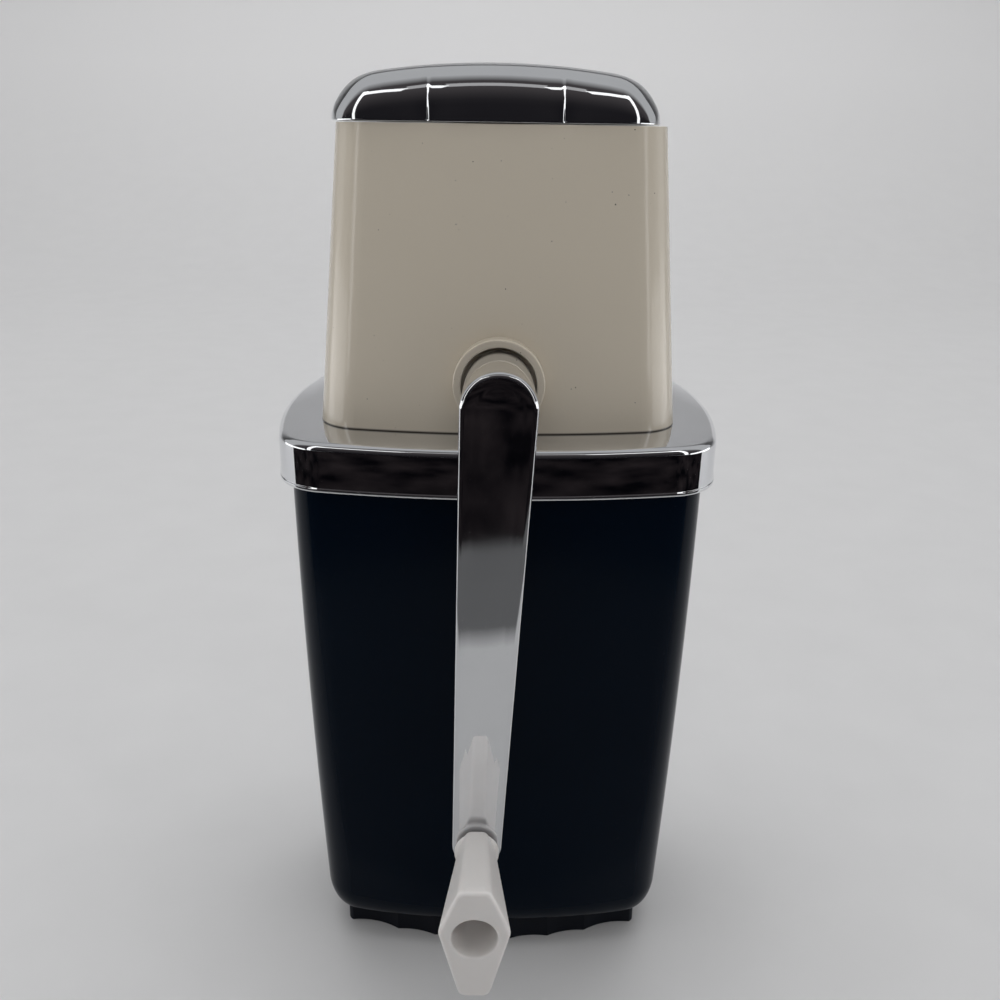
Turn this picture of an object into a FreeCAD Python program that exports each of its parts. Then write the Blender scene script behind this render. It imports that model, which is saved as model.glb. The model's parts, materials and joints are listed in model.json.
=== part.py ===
import FreeCAD, Part
import math
import os

import Sketcher

# Hand crank ice crusher. Millimetres, +Z up, the crank side faces -Y.
# The origin is the middle of the foot's flat underside.

DRIVING_SIZES = [
    # rubber foot under the cup
    ("foot_height", 8.0),
    ("foot_inset_side", 5.5),
    ("foot_inset_front", 3.8),
    ("foot_front_bow", 125.0),
    ("foot_side_bow", 150.0),
    ("foot_corner", 2.5),
    ("foot_rim_width", 5.2),
    ("foot_recess_depth", 5.0),
    ("flute_pitch", 13.4),
    ("flute_radius", 21.0),
    ("flute_depth", 0.9),
    # cup that catches the crushed ice
    ("cup_height", 148.7),
    ("cup_wall", 2.4),
    ("cup_floor", 2.8),
    ("cup_side_taper", 4.1),
    ("cup_front_taper", 9.5),
    ("cup_bulge", 0.85),
    ("cup_bottom_front_bow", 200.0),
    ("cup_bottom_side_bow", 110.0),
    ("cup_bottom_corner", 11.0),
    ("cup_bottom_round", 5.0),
    ("cup_bottom_rise", 10.0),
    ("cup_inner_bevel", 2.4),
    ("cup_fit_gap", 1.6),
    ("seat_gap", 0.3),
    # bright collar with a flat deck
    ("collar_half_width", 57.3),
    ("collar_half_depth", 44.4),
    ("collar_front_bow", 215.0),
    ("collar_side_bow", 130.0),
    ("collar_corner", 15.0),
    ("collar_height", 12.2),
    ("collar_sheet", 1.3),
    ("collar_top_round", 1.8),
    ("collar_lip_round", 0.4),
    ("ledge_side", 12.7),
    ("ledge_front", 5.3),
    ("outlet_corner", 8.0),
    # tapered head housing
    ("head_height", 71.1),
    ("head_base_half_width", 45.7),
    ("head_base_half_depth", 30.3),
    ("head_side_taper", 6.1),
    ("head_front_taper", 6.0),
    ("head_bow", 200.0),
    ("head_base_corner", 11.5),
    ("head_top_corner", 10.0),
    ("head_wall", 3.0),
    ("pillar_inset_side", 9.7),
    ("pillar_inset_front", 12.8),
    ("pillar_radius", 4.5),
    ("rib_width", 3.0),
    # shaft line and its bushes
    ("shaft_rise", 12.55),
    ("boss_radius", 11.1),
    ("boss_stand", 2.8),
    ("boss_edge_round", 0.4),
    ("inner_boss_height", 3.3),
    ("recess_radius", 9.1),
    ("recess_depth", 3.0),
    ("bush_wall", 1.45),
    ("flange_width", 1.4),
    ("flange_thickness", 1.0),
    ("front_journal_radius", 5.5),
    ("rear_journal_radius", 3.7),
    ("rear_boss_radius", 9.5),
    ("rear_boss_stand", 2.3),
    ("rear_cover", 1.5),
    ("running_fit", 0.05),
    ("running_gap", 0.2),
    ("press_gap", 0.02),
    # ice picks on the shaft
    ("shaft_square", 7.6),
    ("ring_thickness", 1.2),
    ("ring_radius", 7.4),
    ("ring_groove_radius", 3.6),
    ("pick_count", 5),
    ("pick_teeth", 4),
    ("pick_radius", 17.0),
    ("pick_hub_radius", 8.6),
    ("pick_thickness", 3.0),
    ("pick_tooth_width", 7.0),
    ("spacer_radius", 7.0),
    # combs beside the picks
    ("comb_thickness", 2.5),
    ("comb_drop", 3.0),
    ("comb_wall_gap", 0.6),
    ("coarse_gap", 8.0),
    ("fine_gap", 1.5),
    ("finger_width", 3.0),
    ("finger_tip_width", 1.0),
    ("finger_tip_gap", 2.5),
    ("comb_half_length", 21.0),
    # crank
    ("crank_radius", 115.0),
    ("crank_rest_angle", 2.05),
    ("arm_clearance", 7.4),
    ("arm_thickness", 4.2),
    ("arm_hub_end", 8.8),
    ("arm_knob_end", 6.4),
    ("arm_edge_round", 1.3),
    ("hub_radius", 8.5),
    ("hub_end_web", 4.0),
    ("stub_radius", 5.0),
    ("stub_depth", 2.0),
    ("set_screw_radius", 2.4),
    ("set_screw_inset", 0.4),
    ("set_screw_socket", 1.2),
    # knob and its pin
    ("knob_length", 30.1),
    ("knob_flange_radius", 5.6),
    ("knob_flange_length", 1.3),
    ("knob_base_half_width", 5.0),
    ("knob_base_up", 7.2),
    ("knob_base_down", 8.2),
    ("knob_base_side_lift", 0.8),
    ("knob_base_half_flat", 2.5),
    ("knob_front_half_width", 8.4),
    ("knob_front_up", 12.9),
    ("knob_front_down", 16.9),
    ("knob_front_side_lift", 1.6),
    ("knob_front_half_flat", 3.5),
    ("knob_side_round", 3.0),
    ("knob_edge_round", 1.0),
    ("knob_rim_round", 0.8),
    ("knob_bore_radius", 5.3),
    ("knob_web", 9.0),
    ("knob_gap", 0.3),
    ("knob_washer_thickness", 0.8),
    ("knob_washer_radius", 4.4),
    ("pin_radius", 2.93),
    ("pin_tail_radius", 2.5),
    ("pin_head_radius", 4.6),
    ("pin_head_height", 2.0),
    ("pin_fit", 0.07),
    ("pin_tail_head_radius", 4.2),
    ("pin_tail_head_height", 1.2),
    # hinged lid
    ("lid_gap", 0.3),
    ("lid_height", 13.6),
    ("lid_side_play", 1.4),
    ("lid_overhang_side", -0.5),
    ("lid_overhang_front", 0.8),
    ("lid_sheet", 1.2),
    ("lid_crown", 185.0),
    ("lid_shoulder", 7.0),
    ("pleat_offset", 15.65),
    ("pleat_width", 1.4),
    ("pleat_depth", 0.6),
    ("pleat_reach", 11.0),
    # hinge at the back of the head
    ("hinge_drop", 3.3),
    ("hinge_pin_radius", 1.25),
    ("hinge_fit", 0.1),
    ("leaf_sheet", 1.0),
    ("leaf_gap", 0.05),
    ("leaf_half_width", 8.0),
    ("leaf_height", 5.0),
    ("lug_gap", 1.8),
    ("lug_thickness", 4.5),
    ("lug_radius", 3.0),
    ("lug_root", 9.0),
    ("leaf_rivet_offset", 4.5),
    ("rivet_radius", 1.1),
    ("rivet_head_radius", 2.0),
    ("rivet_head_height", 0.7),
    # screws
    ("screw_radius", 1.5),
    ("screw_head_radius", 2.8),
    ("screw_head_height", 1.8),
    ("screw_grip", 4.0),
    ("screw_cross_half", 1.6),
    ("screw_cross_slot", 0.35),
    ("screw_cross_depth", 0.9),
    # springs that grip the cup's rim
    ("spring_sheet", 0.6),
    ("spring_half_width", 6.0),
    ("spring_leg", 9.0),
    ("spring_gap", 0.35),
    ("spring_rivet_inset", 6.5),
    ("spring_tab", 3.7),
]


class Measure:
    """A length known as a number and as the sheet formula that gives it."""

    def __init__(self, value, formula):
        self.value = value
        self.formula = formula

    def join(self, sign, other, value):
        return Measure(value, f"({self.formula} {sign} {other.formula})")

    def __add__(self, other):
        other = measure(other)
        return self.join("+", other, self.value + other.value)

    def __sub__(self, other):
        other = measure(other)
        return self.join("-", other, self.value - other.value)

    def __mul__(self, other):
        other = measure(other)
        return self.join("*", other, self.value * other.value)

    def __truediv__(self, other):
        other = measure(other)
        return self.join("/", other, self.value / other.value)

    def __radd__(self, other):
        return measure(other) + self

    def __rsub__(self, other):
        return measure(other) - self

    def __rmul__(self, other):
        return measure(other) * self

    def __neg__(self):
        return Measure(-self.value, f"(-1 * {self.formula})")


def measure(number):
    if isinstance(number, Measure):
        return number
    return Measure(number, f"({number})")


def root(square):
    return Measure(math.sqrt(square.value), f"sqrt({square.formula})")


def sine(degrees):
    return Measure(math.sin(math.radians(degrees.value)), f"sin({degrees.formula})")


def cosine(degrees):
    return Measure(math.cos(math.radians(degrees.value)), f"cos({degrees.formula})")


doc = FreeCAD.newDocument("IceCrusher")
sheet = doc.addObject("Spreadsheet::Sheet", "Sizes")
for row, (alias, number) in enumerate(DRIVING_SIZES, start=1):
    sheet.set(f"A{row}", str(number))
    sheet.setAlias(f"A{row}", alias)
doc.recompute()

NUMBERS = dict(DRIVING_SIZES)
ROUNDING_STEPS = 4
CUT_MARGIN = 1.0
sub_parts = []


def size(alias):
    return Measure(NUMBERS[alias], f"Sizes.{alias}")


def bind(thing, prop, length):
    thing.setExpression(prop, length.formula)


# Sketches and features

def new_body(label):
    body = doc.addObject("PartDesign::Body", label)
    body.Label = label
    return body


def new_sketch(body, plane, height=None):
    sketch = body.newObject("Sketcher::SketchObject", "Sketch")
    support = [item for item in body.Origin.OriginFeatures if item.Role == plane][0]
    sketch.AttachmentSupport = (support, [""])
    sketch.MapMode = "FlatFace"
    if height is not None:
        lift = FreeCAD.Vector(0, 0, measure(height).value)
        sketch.AttachmentOffset = FreeCAD.Placement(lift, FreeCAD.Rotation())
        bind(sketch, "AttachmentOffset.Base.z", measure(height))
    return sketch


def constrain(sketch, kind, *where, length=None):
    if length is None:
        sketch.addConstraint(Sketcher.Constraint(kind, *where))
        return
    index = sketch.addConstraint(Sketcher.Constraint(kind, *where, length.value))
    bind(sketch, f"Constraints[{index}]", length)


def fix_point(sketch, edge, end, x, y):
    """Holds one end or centre of an edge at a place measured from the sketch's origin."""
    for kind, place, axis in (("DistanceX", measure(x), -2), ("DistanceY", measure(y), -1)):
        if abs(place.value) < 1e-9:
            constrain(sketch, "PointOnObject", edge, end, axis)
        else:
            constrain(sketch, kind, -1, 1, edge, end, length=place)


def draw_polygon(sketch, corners):
    first = sketch.GeometryCount
    count = len(corners)
    points = [FreeCAD.Vector(measure(x).value, measure(y).value, 0) for x, y in corners]
    for index in range(count):
        sketch.addGeometry(Part.LineSegment(points[index], points[(index + 1) % count]), False)
    for index in range(count):
        constrain(sketch, "Coincident", first + index, 2, first + (index + 1) % count, 1)
    for index, (x, y) in enumerate(corners):
        fix_point(sketch, first + index, 1, x, y)


def draw_circle(sketch, x, y, radius):
    x, y, radius = measure(x), measure(y), measure(radius)
    centre = FreeCAD.Vector(x.value, y.value, 0)
    edge = sketch.addGeometry(Part.Circle(centre, FreeCAD.Vector(0, 0, 1), radius.value), False)
    constrain(sketch, "Radius", edge, length=radius)
    fix_point(sketch, edge, 3, x, y)


class Outline:
    """A rectangle with four bowed sides and four round corners, all tangent arcs."""

    def __init__(self, half_width, half_depth, front_bow, side_bow, corner):
        self.half_width = measure(half_width)
        self.half_depth = measure(half_depth)
        self.front_bow = measure(front_bow)
        self.side_bow = measure(side_bow)
        self.corner = measure(corner)

    def sizes(self):
        return [self.half_width, self.half_depth, self.front_bow, self.side_bow, self.corner]

    def inset(self, gap):
        return Outline(*[length - gap for length in self.sizes()])

    def towards(self, other, share):
        pairs = zip(self.sizes(), other.sizes())
        return Outline(*[mine + share * (theirs - mine) for mine, theirs in pairs])

    def corner_centre(self):
        """Where a corner arc of its radius touches both the side arc and the front arc."""
        side_x = self.half_width.value - self.side_bow.value
        front_y = self.half_depth.value - self.front_bow.value
        to_side = self.side_bow.value - self.corner.value
        to_front = self.front_bow.value - self.corner.value
        apart = math.hypot(side_x, front_y)
        along = (to_side ** 2 - to_front ** 2 + apart ** 2) / (2 * apart)
        across = math.sqrt(to_side ** 2 - along ** 2)
        unit_x = -side_x / apart
        unit_y = front_y / apart
        return side_x + unit_x * along - unit_y * across, unit_y * along + unit_x * across

    def draw(self, sketch):
        side_x = self.half_width.value - self.side_bow.value
        front_y = self.half_depth.value - self.front_bow.value
        x, y = self.corner_centre()
        side_turn = math.atan2(y, x - side_x)
        corner_turn = math.atan2(y - front_y, x)
        half = math.pi
        full = 2 * math.pi
        side, front, corner = self.side_bow.value, self.front_bow.value, self.corner.value
        arcs = [
            (side_x, 0, side, -side_turn, side_turn),
            (x, y, corner, side_turn, corner_turn),
            (0, front_y, front, corner_turn, half - corner_turn),
            (-x, y, corner, half - corner_turn, half - side_turn),
            (-side_x, 0, side, half - side_turn, half + side_turn),
            (-x, -y, corner, half + side_turn, half + corner_turn),
            (0, -front_y, front, half + corner_turn, full - corner_turn),
            (x, -y, corner, full - corner_turn, full - side_turn),
        ]
        first = sketch.GeometryCount
        for centre_x, centre_y, radius, start, end in arcs:
            centre = FreeCAD.Vector(centre_x, centre_y, 0)
            circle = Part.Circle(centre, FreeCAD.Vector(0, 0, 1), radius)
            sketch.addGeometry(Part.ArcOfCircle(circle, start, end), False)
        for index in range(8):
            constrain(sketch, "Tangent", first + index, 2, first + (index + 1) % 8, 1)
        right, rear, left, fore = first, first + 2, first + 4, first + 6
        constrain(sketch, "Radius", right, length=self.side_bow)
        constrain(sketch, "Equal", right, left)
        constrain(sketch, "Radius", rear, length=self.front_bow)
        constrain(sketch, "Equal", rear, fore)
        constrain(sketch, "Radius", first + 1, length=self.corner)
        for index in (3, 5, 7):
            constrain(sketch, "Equal", first + 1, first + index)
        fix_point(sketch, right, 3, self.half_width - self.side_bow, 0)
        fix_point(sketch, left, 3, self.side_bow - self.half_width, 0)
        fix_point(sketch, rear, 3, 0, self.half_depth - self.front_bow)
        fix_point(sketch, fore, 3, 0, self.front_bow - self.half_depth)


def sweep(body, kind, sketch, length, backwards=False):
    feature = body.newObject(f"PartDesign::{kind}", kind)
    feature.Profile = sketch
    feature.Length = measure(length).value
    feature.Reversed = backwards
    bind(feature, "Length", measure(length))
    return feature


def pad(body, sketch, length, backwards=False):
    return sweep(body, "Pad", sketch, length, backwards)


def pocket(body, sketch, length, backwards=False):
    return sweep(body, "Pocket", sketch, length, backwards)


def loft(body, kind, sections, ruled=True):
    feature = body.newObject(f"PartDesign::{kind}", kind)
    feature.Profile = sections[0]
    feature.Sections = sections[1:]
    feature.Ruled = ruled
    return feature


def turn(body, kind, sketch, axis):
    feature = body.newObject(f"PartDesign::{kind}", kind)
    feature.Profile = sketch
    feature.ReferenceAxis = (sketch, [axis])
    feature.Angle = 360
    return feature


def round_edges(body, chosen, radius):
    """Rounds the edges that the test picks on the body so far."""
    doc.recompute()
    base = body.Tip
    names = [f"Edge{index}" for index, edge in enumerate(base.Shape.Edges, start=1) if chosen(edge)]
    feature = body.newObject("PartDesign::Fillet", "Fillet")
    feature.Base = (base, names)
    feature.Radius = measure(radius).value
    bind(feature, "Radius", measure(radius))
    return feature


def lies_at(edge, axis, level):
    """True for an edge whose ends and middle are all at one level."""
    middle = (edge.FirstParameter + edge.LastParameter) / 2
    points = [edge.valueAt(at) for at in (edge.FirstParameter, middle, edge.LastParameter)]
    return all(abs(getattr(point, axis.lower()) - level.value) < 0.02 for point in points)


def turned(label, profile, plane="YZ_Plane", axis="H_Axis"):
    """A lathe piece: the profile holds places along the axis and radii."""
    body = new_body(label)
    sketch = new_sketch(body, plane)
    draw_polygon(sketch, profile)
    turn(body, "Revolution", sketch, axis)
    return body


def tube_profile(start, end, outer, inner):
    return [(start, inner), (end, inner), (end, outer), (start, outer)]


def move(thing, x=0, y=0, z=0, axis=FreeCAD.Vector(0, 0, 1), angle=0):
    place = FreeCAD.Vector(measure(x).value, measure(y).value, measure(z).value)
    turned_by = FreeCAD.Rotation(axis, measure(angle).value)
    thing.Placement = FreeCAD.Placement(place, turned_by)
    for prop, length in (("x", x), ("y", y), ("z", z)):
        if isinstance(length, Measure):
            bind(thing, f"Placement.Base.{prop}", length)
    if isinstance(angle, Measure):
        bind(thing, "Placement.Rotation.Angle", angle)
    return thing


def combine(label, kind, members):
    """One boolean or group of several finished shapes."""
    thing = doc.addObject(f"Part::{kind}", label)
    thing.Label = label
    if kind == "Cut":
        thing.Base, thing.Tool = members
    elif kind == "Compound":
        thing.Links = members
    else:
        thing.Shapes = members
    return thing


def block(label, x, y, z, length, width, height):
    thing = doc.addObject("Part::Box", label)
    for prop, amount in (("Length", length), ("Width", width), ("Height", height)):
        setattr(thing, prop, measure(amount).value)
        bind(thing, prop, measure(amount))
    return move(thing, x, y, z)


def rod(label, radius, length, x=0, y=0, z=0, axis=FreeCAD.Vector(0, 0, 1), angle=0):
    thing = doc.addObject("Part::Cylinder", label)
    for prop, amount in (("Radius", radius), ("Height", length)):
        setattr(thing, prop, measure(amount).value)
        bind(thing, prop, measure(amount))
    return move(thing, x, y, z, axis, angle)


X_AXIS = FreeCAD.Vector(1, 0, 0)
Y_AXIS = FreeCAD.Vector(0, 1, 0)

# Levels above the floor

cup_rim_z = size("foot_height") + size("cup_height")
deck_under_z = cup_rim_z + size("seat_gap")
deck_z = deck_under_z + size("collar_sheet")
skirt_z = deck_z - size("collar_height")
head_top_z = deck_z + size("head_height")
shaft_z = deck_z + size("shaft_rise")
comb_z = shaft_z - size("comb_drop")
lid_z = head_top_z + size("lid_gap")
lid_top_z = lid_z + size("lid_height")
hinge_z = head_top_z - size("hinge_drop")
rivet_z = lid_z + size("leaf_height") / 2

# Outlines seen from above

collar_outline = Outline(size("collar_half_width"), size("collar_half_depth"), size("collar_front_bow"),
                         size("collar_side_bow"), size("collar_corner"))
cup_rim_outline = collar_outline.inset(size("collar_sheet") + size("cup_fit_gap"))
cup_bottom_outline = Outline(cup_rim_outline.half_width - size("cup_side_taper"),
                             cup_rim_outline.half_depth - size("cup_front_taper"),
                             size("cup_bottom_front_bow"), size("cup_bottom_side_bow"),
                             size("cup_bottom_corner"))
foot_outline = Outline(cup_bottom_outline.half_width - size("foot_inset_side"),
                       cup_bottom_outline.half_depth - size("foot_inset_front"),
                       size("foot_front_bow"), size("foot_side_bow"), size("foot_corner"))
head_base_outline = Outline(size("head_base_half_width"), size("head_base_half_depth"),
                            size("head_bow"), size("head_bow"), size("head_base_corner"))
head_top_outline = Outline(size("head_base_half_width") - size("head_side_taper"),
                           size("head_base_half_depth") - size("head_front_taper"),
                           size("head_bow"), size("head_bow"), size("head_top_corner"))
lid_outline = Outline(head_top_outline.half_width + size("lid_overhang_side"),
                      head_top_outline.half_depth + size("lid_overhang_front"),
                      size("head_bow"), size("head_bow"), size("head_top_corner"))
plug_outline = Outline(foot_outline.half_width - size("foot_rim_width"),
                       foot_outline.half_depth - size("foot_rim_width"),
                       foot_outline.front_bow, foot_outline.side_bow, size("foot_rim_width"))
outlet_outline = Outline(size("head_base_half_width") - size("ledge_side"),
                         size("head_base_half_depth") - size("ledge_front"),
                         size("head_bow"), size("head_bow"), size("outlet_corner"))


def head_outline_at(height, inset):
    share = measure(height) / size("head_height")
    return head_base_outline.towards(head_top_outline, share).inset(inset)


# Distances along the shaft from the middle, the same to the front and to the back

wall_at_shaft = head_outline_at(size("shaft_rise"), 0).half_depth
bush_inner = wall_at_shaft - size("head_wall") - size("inner_boss_height")
ring_outer = bush_inner - size("running_gap")
rotor_half = ring_outer - size("ring_thickness")
pick_pitch = (2 * rotor_half - size("pick_thickness")) / (size("pick_count") - 1)
boss_face = wall_at_shaft + size("boss_stand")
recess_floor = boss_face - size("recess_depth")
hub_rear = recess_floor + size("flange_thickness") + size("running_gap")
arm_back = size("collar_half_depth") + size("arm_clearance")
arm_front = arm_back + size("arm_thickness")
shaft_front = arm_back - size("hub_end_web")
rear_boss_face = wall_at_shaft + size("rear_boss_stand")
rear_bush_end = rear_boss_face - size("rear_cover")
shaft_rear = rear_bush_end - size("running_gap")
front_bush_radius = size("front_journal_radius") + size("running_fit") + size("bush_wall")
rear_bush_radius = size("rear_journal_radius") + size("running_fit") + size("bush_wall")
pillar_x = size("head_base_half_width") - size("pillar_inset_side")
pillar_y = size("head_base_half_depth") - size("pillar_inset_front")
pillar_places = [(pillar_x, pillar_y), (-pillar_x, pillar_y), (-pillar_x, -pillar_y), (pillar_x, -pillar_y)]
pilot_radius = size("screw_radius") + size("press_gap")
spring_rivet_x = outlet_outline.half_width + size("spring_rivet_inset")

# Places of the hinge and of the knob

leaf_inner = lid_outline.half_depth + size("leaf_gap")
knuckle_radius = size("hinge_pin_radius") + size("hinge_fit") + size("leaf_sheet")
hinge_y = leaf_inner + knuckle_radius
lug_start = size("leaf_half_width") + size("lug_gap")
hinge_pin_half = lug_start + size("lug_thickness")
knob_x = -(size("crank_radius") * sine(size("crank_rest_angle")))
knob_z = shaft_z - size("crank_radius") * cosine(size("crank_rest_angle"))


def on_crank(thing):
    """Seats a crank piece on the shaft line, hung at its resting angle."""
    return move(thing, 0, 0, shaft_z, Y_AXIS, size("crank_rest_angle"))


def make_rubber_foot():
    """The foot's sides carry shallow upright hollows, cut one after another."""
    body = new_body("rubber_foot")
    sketch = new_sketch(body, "XY_Plane")
    foot_outline.draw(sketch)
    pad(body, sketch, size("foot_height"))
    recess = new_sketch(body, "XY_Plane", size("foot_height"))
    plug_outline.draw(recess)
    pocket(body, recess, size("foot_recess_depth"))
    reach = size("flute_radius") - size("flute_depth")
    pitch = size("flute_pitch")
    bow = foot_outline.front_bow
    front_count = int((foot_outline.half_width.value - pitch.value / 4) / pitch.value)
    side_count = int((foot_outline.half_depth.value - pitch.value / 2) / pitch.value)
    places = []
    for side in (1, -1):
        for step in range(-front_count, front_count + 1):
            x = pitch * step
            edge_y = root(bow * bow - x * x) - bow + foot_outline.half_depth
            places.append((x, side * (edge_y + reach)))
        for step in range(-side_count, side_count + 1):
            places.append((side * (foot_outline.half_width + reach), pitch * step))
    for x, y in places:
        flute = new_sketch(body, "XY_Plane")
        draw_circle(flute, x, y, size("flute_radius"))
        pocket(body, flute, size("foot_height"), backwards=True)
    return body


def cup_outline_at(height, inset):
    """The cup's outline some way above its bottom; the walls bulge a little at half height."""
    share = measure(height) / size("cup_height")
    bulge = 4 * size("cup_bulge") * share * (1 - share)
    return cup_bottom_outline.towards(cup_rim_outline, share).inset(inset - bulge)


def make_ice_cup():
    """A tapered cup with a rounded bottom edge and a plug below that fits in the foot."""
    body = new_body("ice_cup")
    bottom_z = size("foot_height")
    rise, rounding, wall = size("cup_bottom_rise"), size("cup_bottom_round"), size("cup_wall")
    rings = []
    for step in range(ROUNDING_STEPS + 1):
        lift = rise * (1 - math.cos(math.pi / 2 * step / ROUNDING_STEPS))
        inset = rounding * (1 - math.sin(math.pi / 2 * step / ROUNDING_STEPS))
        ring = new_sketch(body, "XY_Plane", bottom_z + lift)
        cup_outline_at(rise, inset).draw(ring)
        rings.append(ring)
    loft(body, "AdditiveLoft", rings, ruled=False)
    loft(body, "AdditiveLoft", cup_wall_rings(body, measure(0)), ruled=False)
    inner_bottom = new_sketch(body, "XY_Plane", bottom_z + size("cup_floor"))
    cup_outline_at(size("cup_floor"), wall + size("cup_inner_bevel")).draw(inner_bottom)
    inner_wall = new_sketch(body, "XY_Plane", bottom_z + rise)
    cup_outline_at(rise, wall).draw(inner_wall)
    loft(body, "SubtractiveLoft", [inner_bottom, inner_wall])
    loft(body, "SubtractiveLoft", cup_wall_rings(body, wall), ruled=False)
    plug = new_sketch(body, "XY_Plane", bottom_z + size("cup_floor") / 2)
    plug_outline.inset(size("seat_gap")).draw(plug)
    plug_depth = size("foot_recess_depth") - size("seat_gap")
    pad(body, plug, plug_depth + size("cup_floor") / 2, backwards=True)
    well = new_sketch(body, "XY_Plane", bottom_z + size("cup_floor"))
    plug_outline.inset(size("seat_gap") + wall).draw(well)
    pocket(body, well, plug_depth)
    return body


def cup_wall_rings(body, inset):
    """Three outlines of the wall: above the rounded bottom, at half height and at the rim."""
    rings = []
    for height in (size("cup_bottom_rise"), size("cup_height") / 2, size("cup_height")):
        ring = new_sketch(body, "XY_Plane", size("foot_height") + height)
        cup_outline_at(height, inset).draw(ring)
        rings.append(ring)
    return rings


def make_collar():
    """A pressed skirt and flat deck; the deck is open below the picks."""
    body = new_body("collar")
    skirt = new_sketch(body, "XY_Plane", skirt_z)
    collar_outline.draw(skirt)
    pad(body, skirt, size("collar_height"))
    round_edges(body, lambda edge: lies_at(edge, "Z", deck_z), size("collar_top_round"))
    inside = new_sketch(body, "XY_Plane", skirt_z)
    collar_outline.inset(size("collar_sheet")).draw(inside)
    pocket(body, inside, size("collar_height") - size("collar_sheet"), backwards=True)
    outlet = new_sketch(body, "XY_Plane", deck_z)
    outlet_outline.draw(outlet)
    pocket(body, outlet, size("collar_sheet"))
    for x, y in pillar_places:
        hole = new_sketch(body, "XY_Plane", deck_z)
        draw_circle(hole, x, y, pilot_radius)
        pocket(body, hole, size("collar_sheet"))
    for side in (1, -1):
        hole = new_sketch(body, "XY_Plane", deck_z)
        draw_circle(hole, side * spring_rivet_x, 0, size("rivet_radius") + size("press_gap"))
        pocket(body, hole, size("collar_sheet"))
    round_edges(body, lambda edge: lies_at(edge, "Z", skirt_z), size("collar_lip_round"))
    return body


def make_head_housing():
    body = new_body("head_housing")
    base = new_sketch(body, "XY_Plane", deck_z)
    head_base_outline.draw(base)
    top = new_sketch(body, "XY_Plane", head_top_z)
    head_top_outline.draw(top)
    loft(body, "AdditiveLoft", [base, top])
    inner_base = new_sketch(body, "XY_Plane", deck_z)
    head_base_outline.inset(size("head_wall")).draw(inner_base)
    inner_top = new_sketch(body, "XY_Plane", head_top_z)
    head_top_outline.inset(size("head_wall")).draw(inner_top)
    loft(body, "SubtractiveLoft", [inner_base, inner_top])
    add_pillars(body)
    add_bosses(body)
    add_hinge_lugs(body)
    return body


def add_pillars(body):
    """Cast pillars tied to the walls by ribs: the combs sit on them, the collar is screwed to them."""
    height = size("shaft_rise") - size("comb_drop")
    rib_end = head_outline_at(height, size("head_wall") / 2).half_width
    half_rib = size("rib_width") / 2
    for x, y in pillar_places:
        side = 1 if x.value > 0 else -1
        rib = new_sketch(body, "XY_Plane", deck_z)
        draw_polygon(rib, [(x, y - half_rib), (side * rib_end, y - half_rib),
                           (side * rib_end, y + half_rib), (x, y + half_rib)])
        pad(body, rib, height)
        pillar = new_sketch(body, "XY_Plane", deck_z)
        draw_circle(pillar, x, y, size("pillar_radius"))
        pad(body, pillar, height)
    for x, y in pillar_places:
        hole = new_sketch(body, "XY_Plane", deck_z)
        draw_circle(hole, x, y, pilot_radius)
        pocket(body, hole, height, backwards=True)


def add_bosses(body):
    """Front boss with a recess for the hub, closed rear boss, and the bores of both bushes."""
    front = new_sketch(body, "XZ_Plane", boss_face)
    draw_circle(front, 0, shaft_z, size("boss_radius"))
    pad(body, front, boss_face - bush_inner, backwards=True)
    rear = new_sketch(body, "XZ_Plane", -rear_boss_face)
    draw_circle(rear, 0, shaft_z, size("rear_boss_radius"))
    pad(body, rear, rear_boss_face - bush_inner)
    recess = new_sketch(body, "XZ_Plane", boss_face)
    draw_circle(recess, 0, shaft_z, size("recess_radius"))
    pocket(body, recess, size("recess_depth"))
    bore = new_sketch(body, "XZ_Plane", recess_floor)
    draw_circle(bore, 0, shaft_z, front_bush_radius + size("press_gap"))
    pocket(body, bore, recess_floor - bush_inner)
    rear_bore = new_sketch(body, "XZ_Plane", -bush_inner)
    draw_circle(rear_bore, 0, shaft_z, rear_bush_radius + size("press_gap"))
    pocket(body, rear_bore, rear_bush_end - bush_inner)
    round_edges(body, lambda edge: lies_at(edge, "Y", -boss_face), size("boss_edge_round"))


def add_hinge_lugs(body):
    """Two ears on the back wall that hold the lid's pin."""
    wall_y = head_outline_at(size("head_height") - size("hinge_drop"), size("head_wall") / 2).half_depth
    radius = size("lug_radius")
    for side, turned_back in ((1, False), (-1, True)):
        ear = new_sketch(body, "YZ_Plane", side * lug_start)
        corners = [(wall_y, hinge_z - size("lug_root")), (hinge_y, hinge_z - radius),
                   (hinge_y, hinge_z + radius), (wall_y, hinge_z + radius)]
        draw_polygon(ear, corners)
        pad(body, ear, size("lug_thickness"), backwards=turned_back)
        tip = new_sketch(body, "YZ_Plane", side * lug_start)
        draw_circle(tip, hinge_y, hinge_z, radius)
        pad(body, tip, size("lug_thickness"), backwards=turned_back)
    bore = new_sketch(body, "YZ_Plane", -hinge_pin_half)
    draw_circle(bore, hinge_y, hinge_z, size("hinge_pin_radius") + size("press_gap"))
    pocket(body, bore, 2 * hinge_pin_half, backwards=True)


def make_front_bush():
    inner = size("front_journal_radius") + size("running_fit")
    flange = front_bush_radius + size("flange_width") - size("press_gap")
    flange_out = recess_floor + size("flange_thickness")
    profile = [(-bush_inner, inner), (-flange_out, inner), (-flange_out, flange), (-recess_floor, flange),
               (-recess_floor, front_bush_radius), (-bush_inner, front_bush_radius)]
    return move(turned("front_bush", profile), z=shaft_z)


def make_rear_bush():
    inner = size("rear_journal_radius") + size("running_fit")
    profile = tube_profile(bush_inner, rear_bush_end, rear_bush_radius, inner)
    return move(turned("rear_bush", profile), z=shaft_z)


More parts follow.
